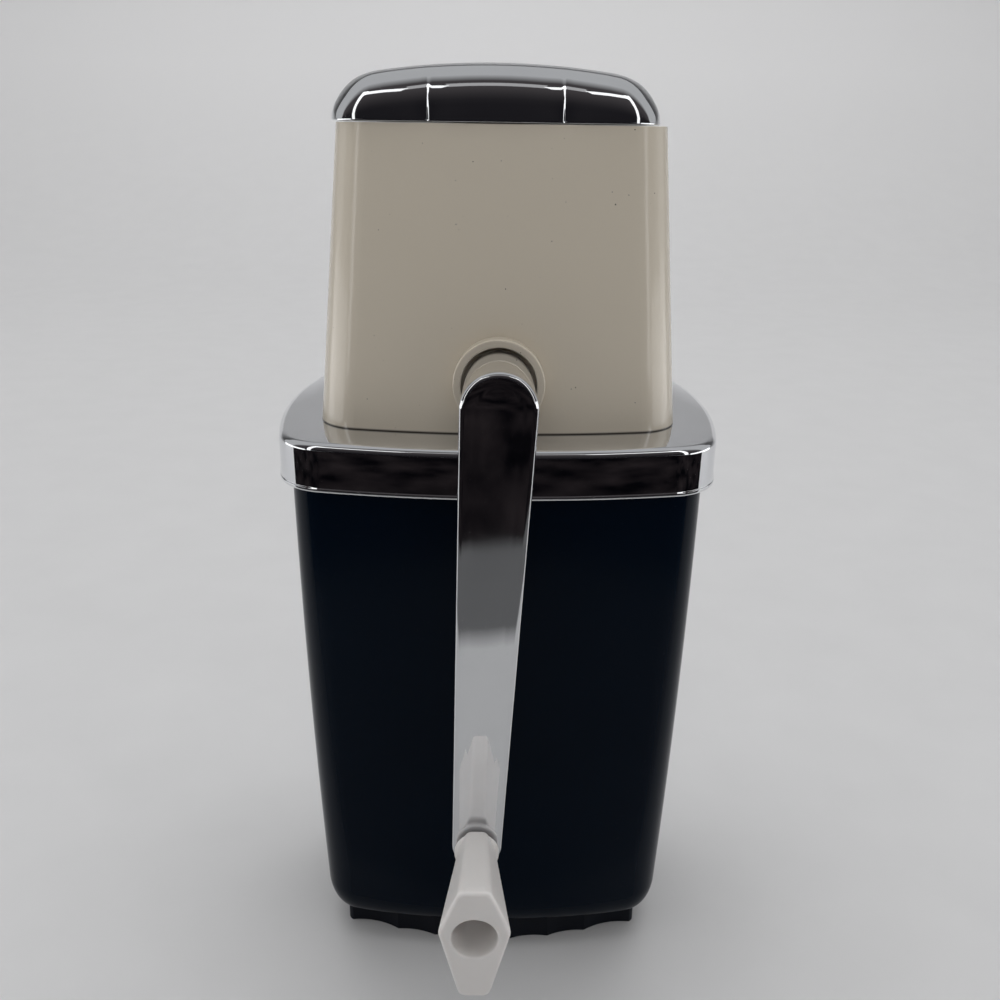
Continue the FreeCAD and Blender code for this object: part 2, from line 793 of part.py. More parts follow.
def make_drive_shaft():
    """Square in the middle for the picks, round in both bushes and in the crank's hub."""
    body = new_body("drive_shaft")
    half_square = size("shaft_square") / 2
    square = new_sketch(body, "XZ_Plane", -rotor_half)
    draw_polygon(square, [(half_square, half_square), (-half_square, half_square),
                          (-half_square, -half_square), (half_square, -half_square)])
    pad(body, square, 2 * rotor_half)
    groove = new_sketch(body, "XZ_Plane", rotor_half)
    draw_circle(groove, 0, 0, size("ring_groove_radius"))
    pad(body, groove, size("ring_thickness"))
    journal = new_sketch(body, "XZ_Plane", ring_outer)
    draw_circle(journal, 0, 0, size("front_journal_radius"))
    pad(body, journal, hub_rear - ring_outer)
    nose = new_sketch(body, "XZ_Plane", hub_rear)
    draw_circle(nose, 0, 0, size("stub_radius"))
    pad(body, nose, shaft_front - hub_rear)
    tail = new_sketch(body, "XZ_Plane", -rotor_half)
    draw_circle(tail, 0, 0, size("rear_journal_radius"))
    pad(body, tail, shaft_rear - rotor_half, backwards=True)
    return on_crank(body)


def make_pick_wheel(index):
    """A disc with pointed teeth on a square hole; each next disc has its teeth turned a step further."""
    body = new_body(f"pick_wheel_{index + 1}")
    count = NUMBERS["pick_count"]
    teeth = NUMBERS["pick_teeth"]
    front_face = rotor_half - pick_pitch * index
    disc = new_sketch(body, "XZ_Plane", front_face - size("pick_thickness"))
    draw_circle(disc, 0, 0, size("pick_hub_radius"))
    pad(body, disc, size("pick_thickness"))
    root_radius = root(size("pick_hub_radius") * size("pick_hub_radius")
                       - size("pick_tooth_width") * size("pick_tooth_width") / 4) - size("press_gap")
    for tooth in range(teeth):
        degrees = measure(360 * (tooth + index / count) / teeth)
        across, along = cosine(degrees), sine(degrees)
        half = size("pick_tooth_width") / 2
        corners = [(root_radius * across + half * along, root_radius * along - half * across),
                   (size("pick_radius") * across, size("pick_radius") * along),
                   (root_radius * across - half * along, root_radius * along + half * across)]
        sketch = new_sketch(body, "XZ_Plane", front_face - size("pick_thickness"))
        draw_polygon(sketch, corners)
        pad(body, sketch, size("pick_thickness"))
    hole = new_sketch(body, "XZ_Plane", front_face)
    half_hole = size("shaft_square") / 2 + size("press_gap")
    draw_polygon(hole, [(half_hole, half_hole), (-half_hole, half_hole),
                        (-half_hole, -half_hole), (half_hole, -half_hole)])
    pocket(body, hole, size("pick_thickness"))
    return on_crank(body)


def make_spacer(index):
    front = rotor_half - pick_pitch * index - size("pick_thickness")
    inner = size("shaft_square") * math.sqrt(0.5) + size("running_fit")
    rear = pick_pitch - size("pick_thickness") - front
    profile = tube_profile(-front, rear, size("spacer_radius"), inner)
    return on_crank(turned(f"pick_spacer_{index + 1}", profile))


def make_shaft_ring():
    inner = size("ring_groove_radius") + size("press_gap")
    profile = tube_profile(-ring_outer, -rotor_half, size("ring_radius"), inner)
    return on_crank(turned("shaft_retaining_ring", profile))


def make_rear_washer():
    inner = size("rear_journal_radius") + size("running_fit")
    profile = tube_profile(rotor_half, ring_outer, size("ring_radius"), inner)
    return on_crank(turned("rear_thrust_washer", profile))


def make_comb(label, side, gap):
    """A toothed plate on two pillars; its fingers reach between the picks."""
    plate = new_body(f"{label}_plate")
    edge = size("pick_radius") + gap
    tip = size("spacer_radius") + size("finger_tip_gap")
    outer = size("head_base_half_width")
    half_length = size("comb_half_length")
    half_finger = size("finger_width") / 2
    half_tip = size("finger_tip_width") / 2
    corners = [(side * outer, -half_length), (side * outer, half_length), (side * edge, half_length)]
    for index in range(NUMBERS["pick_count"] - 1):
        centre = rotor_half - size("pick_thickness") / 2 - pick_pitch * (index + 0.5)
        corners += [(side * edge, centre + half_finger), (side * tip, centre + half_tip),
                    (side * tip, centre - half_tip), (side * edge, centre - half_finger)]
    corners.append((side * edge, -half_length))
    sketch = new_sketch(plate, "XY_Plane", comb_z)
    draw_polygon(sketch, corners)
    pad(plate, sketch, size("comb_thickness"))
    for y in (pillar_y, -pillar_y):
        hole = new_sketch(plate, "XY_Plane", comb_z)
        draw_circle(hole, side * pillar_x, y, pilot_radius)
        pocket(plate, hole, size("comb_thickness"), backwards=True)
    room = new_body(f"{label}_room")
    inside = new_sketch(room, "XY_Plane", comb_z)
    height = size("shaft_rise") - size("comb_drop") + size("comb_thickness")
    head_outline_at(height, size("head_wall") + size("comb_wall_gap")).draw(inside)
    pad(room, inside, size("comb_thickness"))
    return combine(label, "MultiCommon", [plate, room])


def make_screw(label, x, y, z, head_down):
    """A pan head screw with a cross recess; its head rests on the level given."""
    shank = size("screw_radius")
    head = size("screw_head_radius")
    height = size("screw_head_height")
    profile = [(0, -size("screw_grip")), (shank, -size("screw_grip")), (shank, 0), (head, 0),
               (head, height / 2), (head / 2, height), (0, height)]
    body = turned(label, profile, "XZ_Plane", "V_Axis")
    cross = new_sketch(body, "XY_Plane", height)
    arm, slot = size("screw_cross_half"), size("screw_cross_slot")
    draw_polygon(cross, [(arm, -slot), (arm, slot), (slot, slot), (slot, arm),
                         (-slot, arm), (-slot, slot), (-arm, slot), (-arm, -slot),
                         (-slot, -slot), (-slot, -arm), (slot, -arm), (slot, -slot)])
    pocket(body, cross, size("screw_cross_depth"))
    return move(body, x, y, z, X_AXIS, 180 if head_down else 0)


def make_screws(label, z, head_down):
    screws = [make_screw(f"{label}_{index}", x, y, z, head_down)
              for index, (x, y) in enumerate(pillar_places)]
    return combine(label, "Compound", screws)


def make_cup_spring(label, side):
    """An angle of spring strip under the deck; its leg hangs inside the cup's rim."""
    leg_x = cup_rim_outline.half_width - size("cup_wall") - size("spring_gap")
    leg_drop = size("spring_leg") / size("cup_height") * size("cup_side_taper")
    outer = leg_x - leg_drop
    inner = spring_rivet_x - size("spring_tab")
    sheet_thickness = size("spring_sheet")
    body = new_body(label)
    sketch = new_sketch(body, "XZ_Plane", -size("spring_half_width"))
    draw_polygon(sketch, [(side * inner, deck_under_z), (side * outer, deck_under_z),
                          (side * outer, deck_under_z - size("spring_leg")),
                          (side * (outer - sheet_thickness), deck_under_z - size("spring_leg")),
                          (side * (outer - sheet_thickness), deck_under_z - sheet_thickness),
                          (side * inner, deck_under_z - sheet_thickness)])
    pad(body, sketch, 2 * size("spring_half_width"))
    hole = new_sketch(body, "XY_Plane", deck_under_z)
    draw_circle(hole, side * spring_rivet_x, 0, size("rivet_radius") + size("press_gap"))
    pocket(body, hole, sheet_thickness)
    return body


def rivet_profile(start, end):
    """Shank between two low heads, along its axis."""
    shank, head, height = size("rivet_radius"), size("rivet_head_radius"), size("rivet_head_height")
    return [(start - height, 0), (start - height, head / 2), (start - height / 2, head), (start, head),
            (start, shank), (end, shank), (end, head), (end + height / 2, head), (end + height, head / 2),
            (end + height, 0)]


def make_spring_rivets():
    profile = [(radius, along) for along, radius in
               rivet_profile(deck_under_z - size("spring_sheet"), deck_z)]
    rivets = []
    for side in (1, -1):
        rivet = turned(f"spring_rivet_{side + 1}", profile, "XZ_Plane", "V_Axis")
        rivets.append(move(rivet, x=side * spring_rivet_x))
    return combine("spring_rivets", "Compound", rivets)


def make_crank_arm():
    """A tapered bar with round ends and rounded front edges."""
    body = new_body("crank_arm")
    top, end, reach = size("arm_hub_end"), size("arm_knob_end"), size("crank_radius")
    hub_end = new_sketch(body, "XZ_Plane", arm_back)
    draw_circle(hub_end, 0, 0, top)
    pad(body, hub_end, size("arm_thickness"))
    slope = (top - end) / reach
    flank = root(1 - slope * slope)
    high, low = -(top * slope), -reach - end * slope
    bar = new_sketch(body, "XZ_Plane", arm_back)
    draw_polygon(bar, [(top * flank, high), (-(top * flank), high), (-(end * flank), low),
                       (end * flank, low)])
    pad(body, bar, size("arm_thickness"))
    knob_end = new_sketch(body, "XZ_Plane", arm_back)
    draw_circle(knob_end, 0, -reach, end)
    pad(body, knob_end, size("arm_thickness"))
    round_edges(body, lambda edge: lies_at(edge, "Y", -arm_front), size("arm_edge_round"))
    socket = new_sketch(body, "XZ_Plane", arm_back)
    draw_circle(socket, 0, 0, size("stub_radius") + size("press_gap"))
    pocket(body, socket, size("stub_depth"), backwards=True)
    hole = new_sketch(body, "XZ_Plane", arm_back)
    draw_circle(hole, 0, -reach, size("pin_tail_radius") + size("press_gap"))
    pocket(body, hole, size("arm_thickness"), backwards=True)
    return on_crank(body)


def make_crank_hub():
    bore = size("stub_radius") + size("press_gap")
    stub = size("stub_radius")
    tip = arm_back + size("stub_depth")
    profile = [(-hub_rear, bore), (-hub_rear, size("hub_radius")), (-arm_back, size("hub_radius")),
               (-arm_back, stub), (-tip, stub), (-tip, 0), (-shaft_front, 0), (-shaft_front, bore)]
    body = turned("crank_hub", profile)
    middle = (hub_rear + arm_back) / 2
    hole = new_sketch(body, "XY_Plane", -size("hub_radius"))
    draw_circle(hole, 0, -middle, size("set_screw_radius") + size("press_gap"))
    pocket(body, hole, size("hub_radius") - size("stub_radius") / 2, backwards=True)
    return on_crank(body)


def make_set_screw():
    """Clamps the hub on the shaft from the side that faces the knob."""
    body = new_body("hub_set_screw")
    middle = (hub_rear + arm_back) / 2
    start = size("stub_radius") + size("press_gap")
    sketch = new_sketch(body, "XY_Plane", -start)
    draw_circle(sketch, 0, -middle, size("set_screw_radius"))
    length = size("hub_radius") - size("set_screw_inset") - start
    pad(body, sketch, length, backwards=True)
    slot = new_sketch(body, "XY_Plane", -start - length)
    socket = size("set_screw_socket")
    turns = [measure(60 * step) for step in range(6)]
    corners = [(socket * cosine(turned_by), socket * sine(turned_by) - middle) for turned_by in turns]
    draw_polygon(slot, corners)
    pocket(body, slot, length / 2, backwards=True)
    return on_crank(body)


def make_knob_pin():
    """A shouldered rivet: its head sits deep in the knob, its tail is closed over behind the arm."""
    web_front = arm_front + size("knob_washer_thickness") + size("knob_gap") + size("knob_web")
    head_rear = web_front + size("knob_gap")
    head_front = head_rear + size("pin_head_height")
    tail = arm_back - size("pin_tail_head_height")
    tail_middle = arm_back - size("pin_tail_head_height") / 2
    head_middle = head_rear + size("pin_head_height") / 2
    shoulder, shank = size("pin_radius"), size("pin_tail_radius")
    head, tail_head = size("pin_head_radius"), size("pin_tail_head_radius")
    profile = [(-tail, 0), (-tail, tail_head / 2), (-tail_middle, tail_head), (-arm_back, tail_head),
               (-arm_back, shank), (-arm_front, shank), (-arm_front, shoulder), (-head_rear, shoulder),
               (-head_rear, head), (-head_middle, head), (-head_front, head / 2), (-head_front, 0)]
    return move(turned("knob_pin", profile), knob_x, 0, knob_z)


def make_knob_washer():
    inner = size("pin_radius") + size("pin_fit")
    front = arm_front + size("knob_washer_thickness")
    profile = tube_profile(-front, -arm_front, size("knob_washer_radius"), inner)
    return move(turned("knob_washer", profile), knob_x, 0, knob_z)


def knob_hexagon(body, face, end):
    """One end of the knob's six flat sides; it reaches further below the bore than above it."""
    half_width, half_flat = size(f"knob_{end}_half_width"), size(f"knob_{end}_half_flat")
    up, down, side_z = size(f"knob_{end}_up"), size(f"knob_{end}_down"), size(f"knob_{end}_side_lift")
    sketch = new_sketch(body, "XZ_Plane", face)
    draw_polygon(sketch, [(half_width, side_z), (half_flat, up), (-half_flat, up),
                          (-half_width, side_z), (-half_flat, -down), (half_flat, -down)])
    return sketch


def make_crank_knob():
    """Six flat sides that flare forward from a small round flange, with a deep bore for the pin's head."""
    rear = arm_front + size("knob_washer_thickness") + size("knob_gap")
    base_face = rear + size("knob_flange_length")
    front_face = rear + size("knob_length")
    side_places = [size("knob_base_half_width").value, size("knob_front_half_width").value]
    body = new_body("crank_knob")
    base = knob_hexagon(body, base_face, "base")
    front = knob_hexagon(body, front_face, "front")
    loft(body, "AdditiveLoft", [base, front])

    def at_face(edge):
        return lies_at(edge, "Y", -base_face) or lies_at(edge, "Y", -front_face)

    def at_side(edge):
        ends = [abs(vertex.X) for vertex in edge.Vertexes]
        return all(any(abs(end - place) < 0.02 for place in side_places) for end in ends)

    def at_flat(edge):
        ends = [abs(vertex.X) for vertex in edge.Vertexes]
        return not at_face(edge) and max(ends) < size("knob_front_half_flat").value + 0.02

    round_edges(body, at_side, size("knob_side_round"))
    round_edges(body, at_flat, size("knob_edge_round"))
    round_edges(body, at_face, size("knob_rim_round"))
    flange = new_sketch(body, "XZ_Plane", rear)
    draw_circle(flange, 0, 0, size("knob_flange_radius"))
    pad(body, flange, size("knob_flange_length") + size("knob_edge_round"))
    bore = new_sketch(body, "XZ_Plane", front_face)
    draw_circle(bore, 0, 0, size("knob_bore_radius"))
    pocket(body, bore, size("knob_length") - size("knob_web"))
    hole = new_sketch(body, "XZ_Plane", front_face)
    draw_circle(hole, 0, 0, size("pin_radius") + size("pin_fit"))
    pocket(body, hole, size("knob_length"))
    return move(body, knob_x, 0, knob_z)


def domed_block(label, inset):
    """The lid's outer form: upright sides, a round shoulder and a crown like part of a large ball."""
    body = new_body(label)
    sketch = new_sketch(body, "XY_Plane", lid_z)
    lid_outline.inset(inset).draw(sketch)
    pad(body, sketch, size("lid_height") - inset)
    crown = size("lid_crown") - inset
    ball = doc.addObject("Part::Sphere", f"{label}_ball")
    ball.Radius = crown.value
    bind(ball, "Radius", crown)
    move(ball, 0, 0, lid_top_z - size("lid_crown"), X_AXIS, 90)
    crowned = combine(f"{label}_crowned", "MultiCommon", [body, ball])
    doc.recompute()
    rounded = doc.addObject("Part::Fillet", f"{label}_rounded")
    rounded.Base = crowned
    shoulder = size("lid_shoulder") - inset
    edges = [index for index, edge in enumerate(crowned.Shape.Edges, start=1)
             if edge.BoundBox.ZMin > lid_z.value + CUT_MARGIN]
    rounded.Edges = [(index, shoulder.value, shoulder.value) for index in edges]
    return rounded


def on_lid(thing):
    """The lid rests at the left end of its play along the hinge pin."""
    return move(thing, x=-size("lid_side_play"))


def make_lid_shell():
    """A pressed sheet lid with two upright pleats on its front."""
    outer = domed_block("lid_outer", measure(0))
    ribbed = domed_block("lid_pleated", size("pleat_depth"))
    hollow = domed_block("lid_hollow", size("lid_sheet"))
    slots = []
    for side in (1, -1):
        x = side * size("pleat_offset") - size("pleat_width") / 2
        slots.append(block(f"pleat_{side + 1}", x, -lid_outline.half_depth - CUT_MARGIN, lid_z - CUT_MARGIN,
                           size("pleat_width"), size("pleat_reach") + CUT_MARGIN,
                           size("lid_height") + 2 * CUT_MARGIN))
    slotted = combine("lid_slotted", "Cut", [outer, combine("pleats", "MultiFuse", slots)])
    full = combine("lid_full", "MultiFuse", [slotted, ribbed])
    shell = combine("lid_pressing", "Cut", [full, hollow])
    holes = combine("leaf_holes", "MultiFuse", rivet_bores("leaf_hole"))
    return on_lid(combine("lid_shell", "Cut", [shell, holes]))


def rivet_bores(label):
    """Two bores through the lid's back wall and the leaf, for the rivets that join them."""
    start = leaf_inner + size("leaf_sheet") + CUT_MARGIN
    depth = size("leaf_sheet") + size("leaf_gap") + 2 * size("lid_sheet") + 2 * CUT_MARGIN
    return [rod(f"{label}_{side + 1}", size("rivet_radius") + size("press_gap"), depth,
                side * size("leaf_rivet_offset"), start, rivet_z, X_AXIS, 90) for side in (1, -1)]


def make_lid_hinge_leaf():
    """A flat strip on the lid's back wall, rolled into a knuckle round the pin."""
    width = 2 * size("leaf_half_width")
    left = -size("leaf_half_width")
    plate = block("leaf_plate", left, leaf_inner, hinge_z, width, size("leaf_sheet"),
                  lid_z + size("leaf_height") - hinge_z)
    knuckle = rod("leaf_knuckle", knuckle_radius, width, left, hinge_y, hinge_z, Y_AXIS, 90)
    bore = rod("leaf_bore", size("hinge_pin_radius") + size("hinge_fit"), width, left, hinge_y, hinge_z,
               Y_AXIS, 90)
    solid = combine("leaf_solid", "MultiFuse", [plate, knuckle])
    cuts = combine("leaf_cuts", "MultiFuse", [bore] + rivet_bores("leaf_rivet_hole"))
    return on_lid(combine("lid_hinge_leaf", "Cut", [solid, cuts]))


def make_leaf_rivets():
    """The lid's back wall is bowed, so a flat rivet head touches it at the head's outer side."""
    reach = size("leaf_rivet_offset") + size("rivet_head_radius")
    bow_drop = reach * reach / (2 * (lid_outline.front_bow - size("lid_sheet")))
    seat = lid_outline.half_depth - size("lid_sheet") - bow_drop - size("press_gap")
    profile = rivet_profile(seat, leaf_inner + size("leaf_sheet"))
    rivets = [move(turned(f"leaf_rivet_{side + 1}", profile), side * size("leaf_rivet_offset"), 0, rivet_z)
              for side in (1, -1)]
    return on_lid(combine("leaf_rivets", "Compound", rivets))


def make_hinge_pin():
    profile = [(-hinge_pin_half, 0), (-hinge_pin_half, size("hinge_pin_radius")),
               (hinge_pin_half, size("hinge_pin_radius")), (hinge_pin_half, 0)]
    return move(turned("hinge_pin", profile, "XY_Plane"), 0, hinge_y, hinge_z)


sub_parts += [make_ice_cup(), make_rubber_foot()]
sub_parts += [make_collar(), make_head_housing(), make_front_bush(), make_rear_bush()]
sub_parts += [make_comb("coarse_comb", -1, size("coarse_gap")), make_comb("fine_comb", 1, size("fine_gap"))]
sub_parts.append(make_screws("comb_screws", comb_z + size("comb_thickness"), False))
sub_parts.append(make_screws("collar_screws", deck_under_z, True))
sub_parts += [make_cup_spring("cup_spring_left", -1), make_cup_spring("cup_spring_right", 1)]
sub_parts += [make_spring_rivets(), make_hinge_pin()]
sub_parts += [make_lid_shell(), make_lid_hinge_leaf(), make_leaf_rivets()]
sub_parts += [make_crank_arm(), make_crank_hub(), make_set_screw(), make_drive_shaft()]
sub_parts += [make_pick_wheel(index) for index in range(NUMBERS["pick_count"])]
sub_parts += [make_spacer(index) for index in range(NUMBERS["pick_count"] - 1)]
sub_parts += [make_shaft_ring(), make_rear_washer(), make_knob_pin(), make_knob_washer()]
sub_parts.append(make_crank_knob())

doc.recompute()

for thing in doc.Objects:
    if "Invalid" in thing.State or "Error" in thing.State:
        raise RuntimeError(f"{thing.Label} failed: {thing.State}")
    if thing.TypeId in ("PartDesign::Pocket", "PartDesign::SubtractiveLoft"):
        before = thing.BaseFeature.Shape.Volume
        if thing.Shape.Volume >= before:
            raise RuntimeError(f"{thing.Label} cuts nothing")

os.makedirs("parts", exist_ok=True)
for part in sub_parts:
    if part.Shape.isNull() or not part.Shape.isValid():
        raise RuntimeError(f"{part.Label} has no valid shape")
    part.Shape.exportStep(f"parts/{part.Label}.step")
    print(part.Label, len(part.Shape.Solids), round(part.Shape.Volume, 1))
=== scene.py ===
import json
import math

import bmesh
import bpy
from mathutils import Matrix, Vector


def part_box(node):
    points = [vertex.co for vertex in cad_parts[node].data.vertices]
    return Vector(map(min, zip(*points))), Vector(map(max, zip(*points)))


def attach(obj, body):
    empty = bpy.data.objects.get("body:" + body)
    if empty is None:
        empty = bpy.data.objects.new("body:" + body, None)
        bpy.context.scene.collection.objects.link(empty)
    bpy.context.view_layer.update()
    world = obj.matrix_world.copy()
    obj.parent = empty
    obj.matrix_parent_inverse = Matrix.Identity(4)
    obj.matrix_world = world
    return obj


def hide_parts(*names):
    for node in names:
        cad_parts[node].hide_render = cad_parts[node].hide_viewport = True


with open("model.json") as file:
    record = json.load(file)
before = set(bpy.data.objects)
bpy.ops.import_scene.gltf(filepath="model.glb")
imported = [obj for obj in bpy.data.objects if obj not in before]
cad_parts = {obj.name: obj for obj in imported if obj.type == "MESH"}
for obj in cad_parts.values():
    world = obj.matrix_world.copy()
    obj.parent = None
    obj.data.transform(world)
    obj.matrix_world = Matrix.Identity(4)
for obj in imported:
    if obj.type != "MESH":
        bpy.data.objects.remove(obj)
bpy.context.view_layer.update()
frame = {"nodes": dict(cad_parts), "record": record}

MM = 0.001


# Shader building: a wire is one socket, and sums and products of wires add nodes

# Places of the colour sockets on a mix node, which shares their names with others
MIX_LOW, MIX_HIGH, MIX_RESULT = 6, 7, 2


class Wire:
    def __init__(self, tree, socket=None):
        self.tree = tree
        self.socket = socket

    def node(self, kind, settings=None, inputs=None, output=0):
        """Adds a node with its settings and inputs and gives the wire of one of its outputs."""
        node = self.tree.nodes.new(kind)
        for name, setting in (settings or {}).items():
            setattr(node, name, setting)
        for name, given in (inputs or {}).items():
            target = node.inputs[name]
            if isinstance(given, Wire):
                self.tree.links.new(given.socket, target)
            else:
                target.default_value = given
        return Wire(self.tree, node.outputs[output] if node.outputs else None)

    def maths(self, operation, first, second):
        return self.node("ShaderNodeMath", {"operation": operation}, {0: first, 1: second})

    def __add__(self, other):
        return self.maths("ADD", self, other)

    def __radd__(self, other):
        return self.maths("ADD", other, self)

    def __mul__(self, other):
        return self.maths("MULTIPLY", self, other)

    def __rmul__(self, other):
        return self.maths("MULTIPLY", other, self)

    def __sub__(self, other):
        return self.maths("SUBTRACT", self, other)

    def __rsub__(self, other):
        return self.maths("SUBTRACT", other, self)

    def ramp(self, low, high):
        """Goes from 0 to 1 while the wire goes from low to high."""
        return self.node("ShaderNodeMapRange", {"clamp": True},
                         {"Value": self, "From Min": low, "From Max": high})

    def blend(self, low_colour, high_colour):
        """A colour that goes from one to the other as the wire goes from 0 to 1."""
        inputs = {"Factor": self, MIX_LOW: low_colour, MIX_HIGH: high_colour}
        return self.node("ShaderNodeMix", {"data_type": "RGBA"}, inputs, output=MIX_RESULT)

    def along(self, axis):
        """One of the three numbers, X, Y or Z, of a place or a direction."""
        return self.node("ShaderNodeSeparateXYZ", inputs={"Vector": self}, output=axis)


def new_finish(name):
    """An empty material and the wire that carries the place on the piece, in metres."""
    finish = bpy.data.materials.new(name)
    finish.use_nodes = True
    finish.node_tree.nodes.clear()
    place = Wire(finish.node_tree).node("ShaderNodeTexCoord", output="Object")
    return finish, place


def noise(place, scale, detail, stretch=(1, 1, 1)):
    """Soft irregular spots, about 1 / scale metres apart."""
    spread = place.node("ShaderNodeMapping", inputs={"Vector": place, "Scale": stretch})
    inputs = {"Vector": spread, "Scale": scale, "Detail": detail}
    return place.node("ShaderNodeTexNoise", inputs=inputs)


def bumped(height, distance):
    """Small hills where the height is 1, as tall as the distance in metres."""
    return height.node("ShaderNodeBump", inputs={"Height": height, "Distance": distance})


def coat_of(finish, place, **sockets):
    """The surface shader, with its sockets named by words joined by underscores."""
    inputs = {name.replace("_", " "): given for name, given in sockets.items()}
    shader = place.node("ShaderNodeBsdfPrincipled", inputs=inputs)
    place.node("ShaderNodeOutputMaterial", inputs={"Surface": shader})
    return finish


def grey(level, warm=0.0, cool=0.0):
    """A grey that leans by a share to red and away from blue, or to blue by a small addition."""
    return (level * (1 + warm), level, level * (1 - warm) + cool, 1.0)


# Finishes of the object


def bright_chrome():
    """Mirror plate with faint smudges, fine specks of dust and a hardly visible ripple."""
    finish, place = new_finish("bright_chrome")
    smudges = noise(place, scale=60, detail=3).ramp(0.45, 0.8)
    dust = noise(place, scale=2600, detail=1).ramp(0.70, 0.78)
    roughness = 0.03 + 0.04 * smudges + 0.12 * dust
    colour = smudges.blend((0.80, 0.81, 0.83, 1), (0.75, 0.76, 0.78, 1))
    ripple = noise(place, scale=45, detail=2)
    return coat_of(finish, place, Base_Color=colour, Metallic=1.0, Roughness=roughness,
                   Normal=bumped(ripple, 0.015 * MM))


def cream_enamel():
    """Glossy enamel with few dark specks, a faint peel and painted shade along the seam where it meets the
    collar.
    """
    finish, place = new_finish("cream_enamel")
    patches = noise(place, scale=14, detail=2)
    specks = noise(place, scale=1100, detail=1).ramp(0.80, 0.82)
    clean = patches.blend((0.70, 0.63, 0.52, 1), (0.74, 0.67, 0.555, 1))
    speckled = specks.blend(clean, (0.10, 0.09, 0.075, 1))
    # Painted shade: a near black band up to 0.5 mm above the deck stands in for the shadow where the head
    # meets the collar
    deck_z, seam_start, seam_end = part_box("collar")[1][2], 0.1 * MM, 0.5 * MM
    above_seam_shade = place.along("Z").ramp(deck_z + seam_start, deck_z + seam_end)
    colour = above_seam_shade.blend((0.05, 0.045, 0.04, 1), speckled)
    peel = noise(place, scale=420, detail=2)
    return coat_of(finish, place, Base_Color=colour, Roughness=0.17 + 0.06 * patches, Coat_Weight=0.6,
                   Coat_Roughness=0.06, Normal=bumped(peel, 0.03 * MM))


def navy_plastic():
    """Almost black blue plastic with a soft gloss and a little dust."""
    finish, place = new_finish("navy_plastic")
    cloud = noise(place, scale=18, detail=3).ramp(0.3, 0.75)
    dust = noise(place, scale=2400, detail=1).ramp(0.78, 0.81)
    clean = cloud.blend((0.0002, 0.0030, 0.0085, 1), (0.0005, 0.0040, 0.0105, 1))
    colour = dust.blend(clean, (0.03, 0.035, 0.04, 1))
    grain = noise(place, scale=300, detail=2)
    return coat_of(finish, place, Base_Color=colour, Roughness=0.14 + 0.08 * cloud,
                   Specular_IOR_Level=0.07, Normal=bumped(grain, 0.005 * MM))


def black_rubber():
    """Dull rubber, slightly uneven."""
    finish, place = new_finish("black_rubber")
    cloud = noise(place, scale=90, detail=3).ramp(0.3, 0.7)
    colour = cloud.blend((0.002, 0.003, 0.007, 1), (0.004, 0.006, 0.011, 1))
    grain = noise(place, scale=900, detail=2)
    return coat_of(finish, place, Base_Color=colour, Roughness=0.5 + 0.15 * cloud,
                   Specular_IOR_Level=0.2, Normal=bumped(grain, 0.03 * MM))


def worked_steel(name, level, roughness):
    """Steel with marks of work across it, lighter or darker by its level."""
    finish, place = new_finish(name)
    brushed = noise(place, scale=260, detail=3, stretch=(1, 6, 1))
    colour = brushed.ramp(0.3, 0.7).blend(grey(level * 0.85, warm=0.02), grey(level, warm=0.01))
    return coat_of(finish, place, Base_Color=colour, Metallic=1.0, Roughness=roughness + 0.15 * brushed,
                   Normal=bumped(brushed, 0.01 * MM))


def bronze():
    """Mottled bearing bronze."""
    finish, place = new_finish("bronze_bush")
    mottle = noise(place, scale=500, detail=3).ramp(0.35, 0.7)
    colour = mottle.blend((0.42, 0.27, 0.12, 1), (0.55, 0.38, 0.18, 1))
    return coat_of(finish, place, Base_Color=colour, Metallic=1.0, Roughness=0.35 + 0.2 * mottle,
                   Normal=bumped(mottle, 0.01 * MM))


def white_plastic():
    """Warm white plastic that lets a little light in."""
    finish, place = new_finish("white_plastic")
    cloud = noise(place, scale=60, detail=2)
    colour = cloud.blend((0.78, 0.755, 0.735, 1), (0.84, 0.815, 0.795, 1))
    grain = noise(place, scale=350, detail=2)
    return coat_of(finish, place, Base_Color=colour, Roughness=0.25 + 0.1 * cloud, Subsurface_Weight=0.12,
                   Subsurface_Radius=(1.0, 0.8, 0.75), Subsurface_Scale=1.5 * MM,
                   Normal=bumped(grain, 0.02 * MM))


finishes = {
    "bright_chrome": bright_chrome(),
    "cream_enamel": cream_enamel(),
    "navy_plastic": navy_plastic(),
    "black_rubber": black_rubber(),
    "steel": worked_steel("steel", level=0.55, roughness=0.25),
    "spring_steel": worked_steel("spring_steel", level=0.42, roughness=0.3),
    "bronze_bush": bronze(),
    "white_plastic": white_plastic(),
}

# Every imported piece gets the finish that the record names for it
for part in frame["record"]["subparts"]:
    node = frame["nodes"][part["node"]]
    for material_slot in node.material_slots:
        material_slot.material = finishes[part["material_slot"]]


# Outlines and skins, in millimetres

# Steps along the arcs of an outline: a side, a corner, the front or back, a corner, and again
ARC_STEPS = (10, 12, 20, 12)
FRONT_ARC = 6


def box_mm(node):
    """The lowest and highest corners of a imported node, in millimetres."""
    return [[value / MM for value in corner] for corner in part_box(node)]


def turns(whole, steps):
    """Angles from 0 to the whole one in even steps."""
    return [whole * step / steps for step in range(steps + 1)]


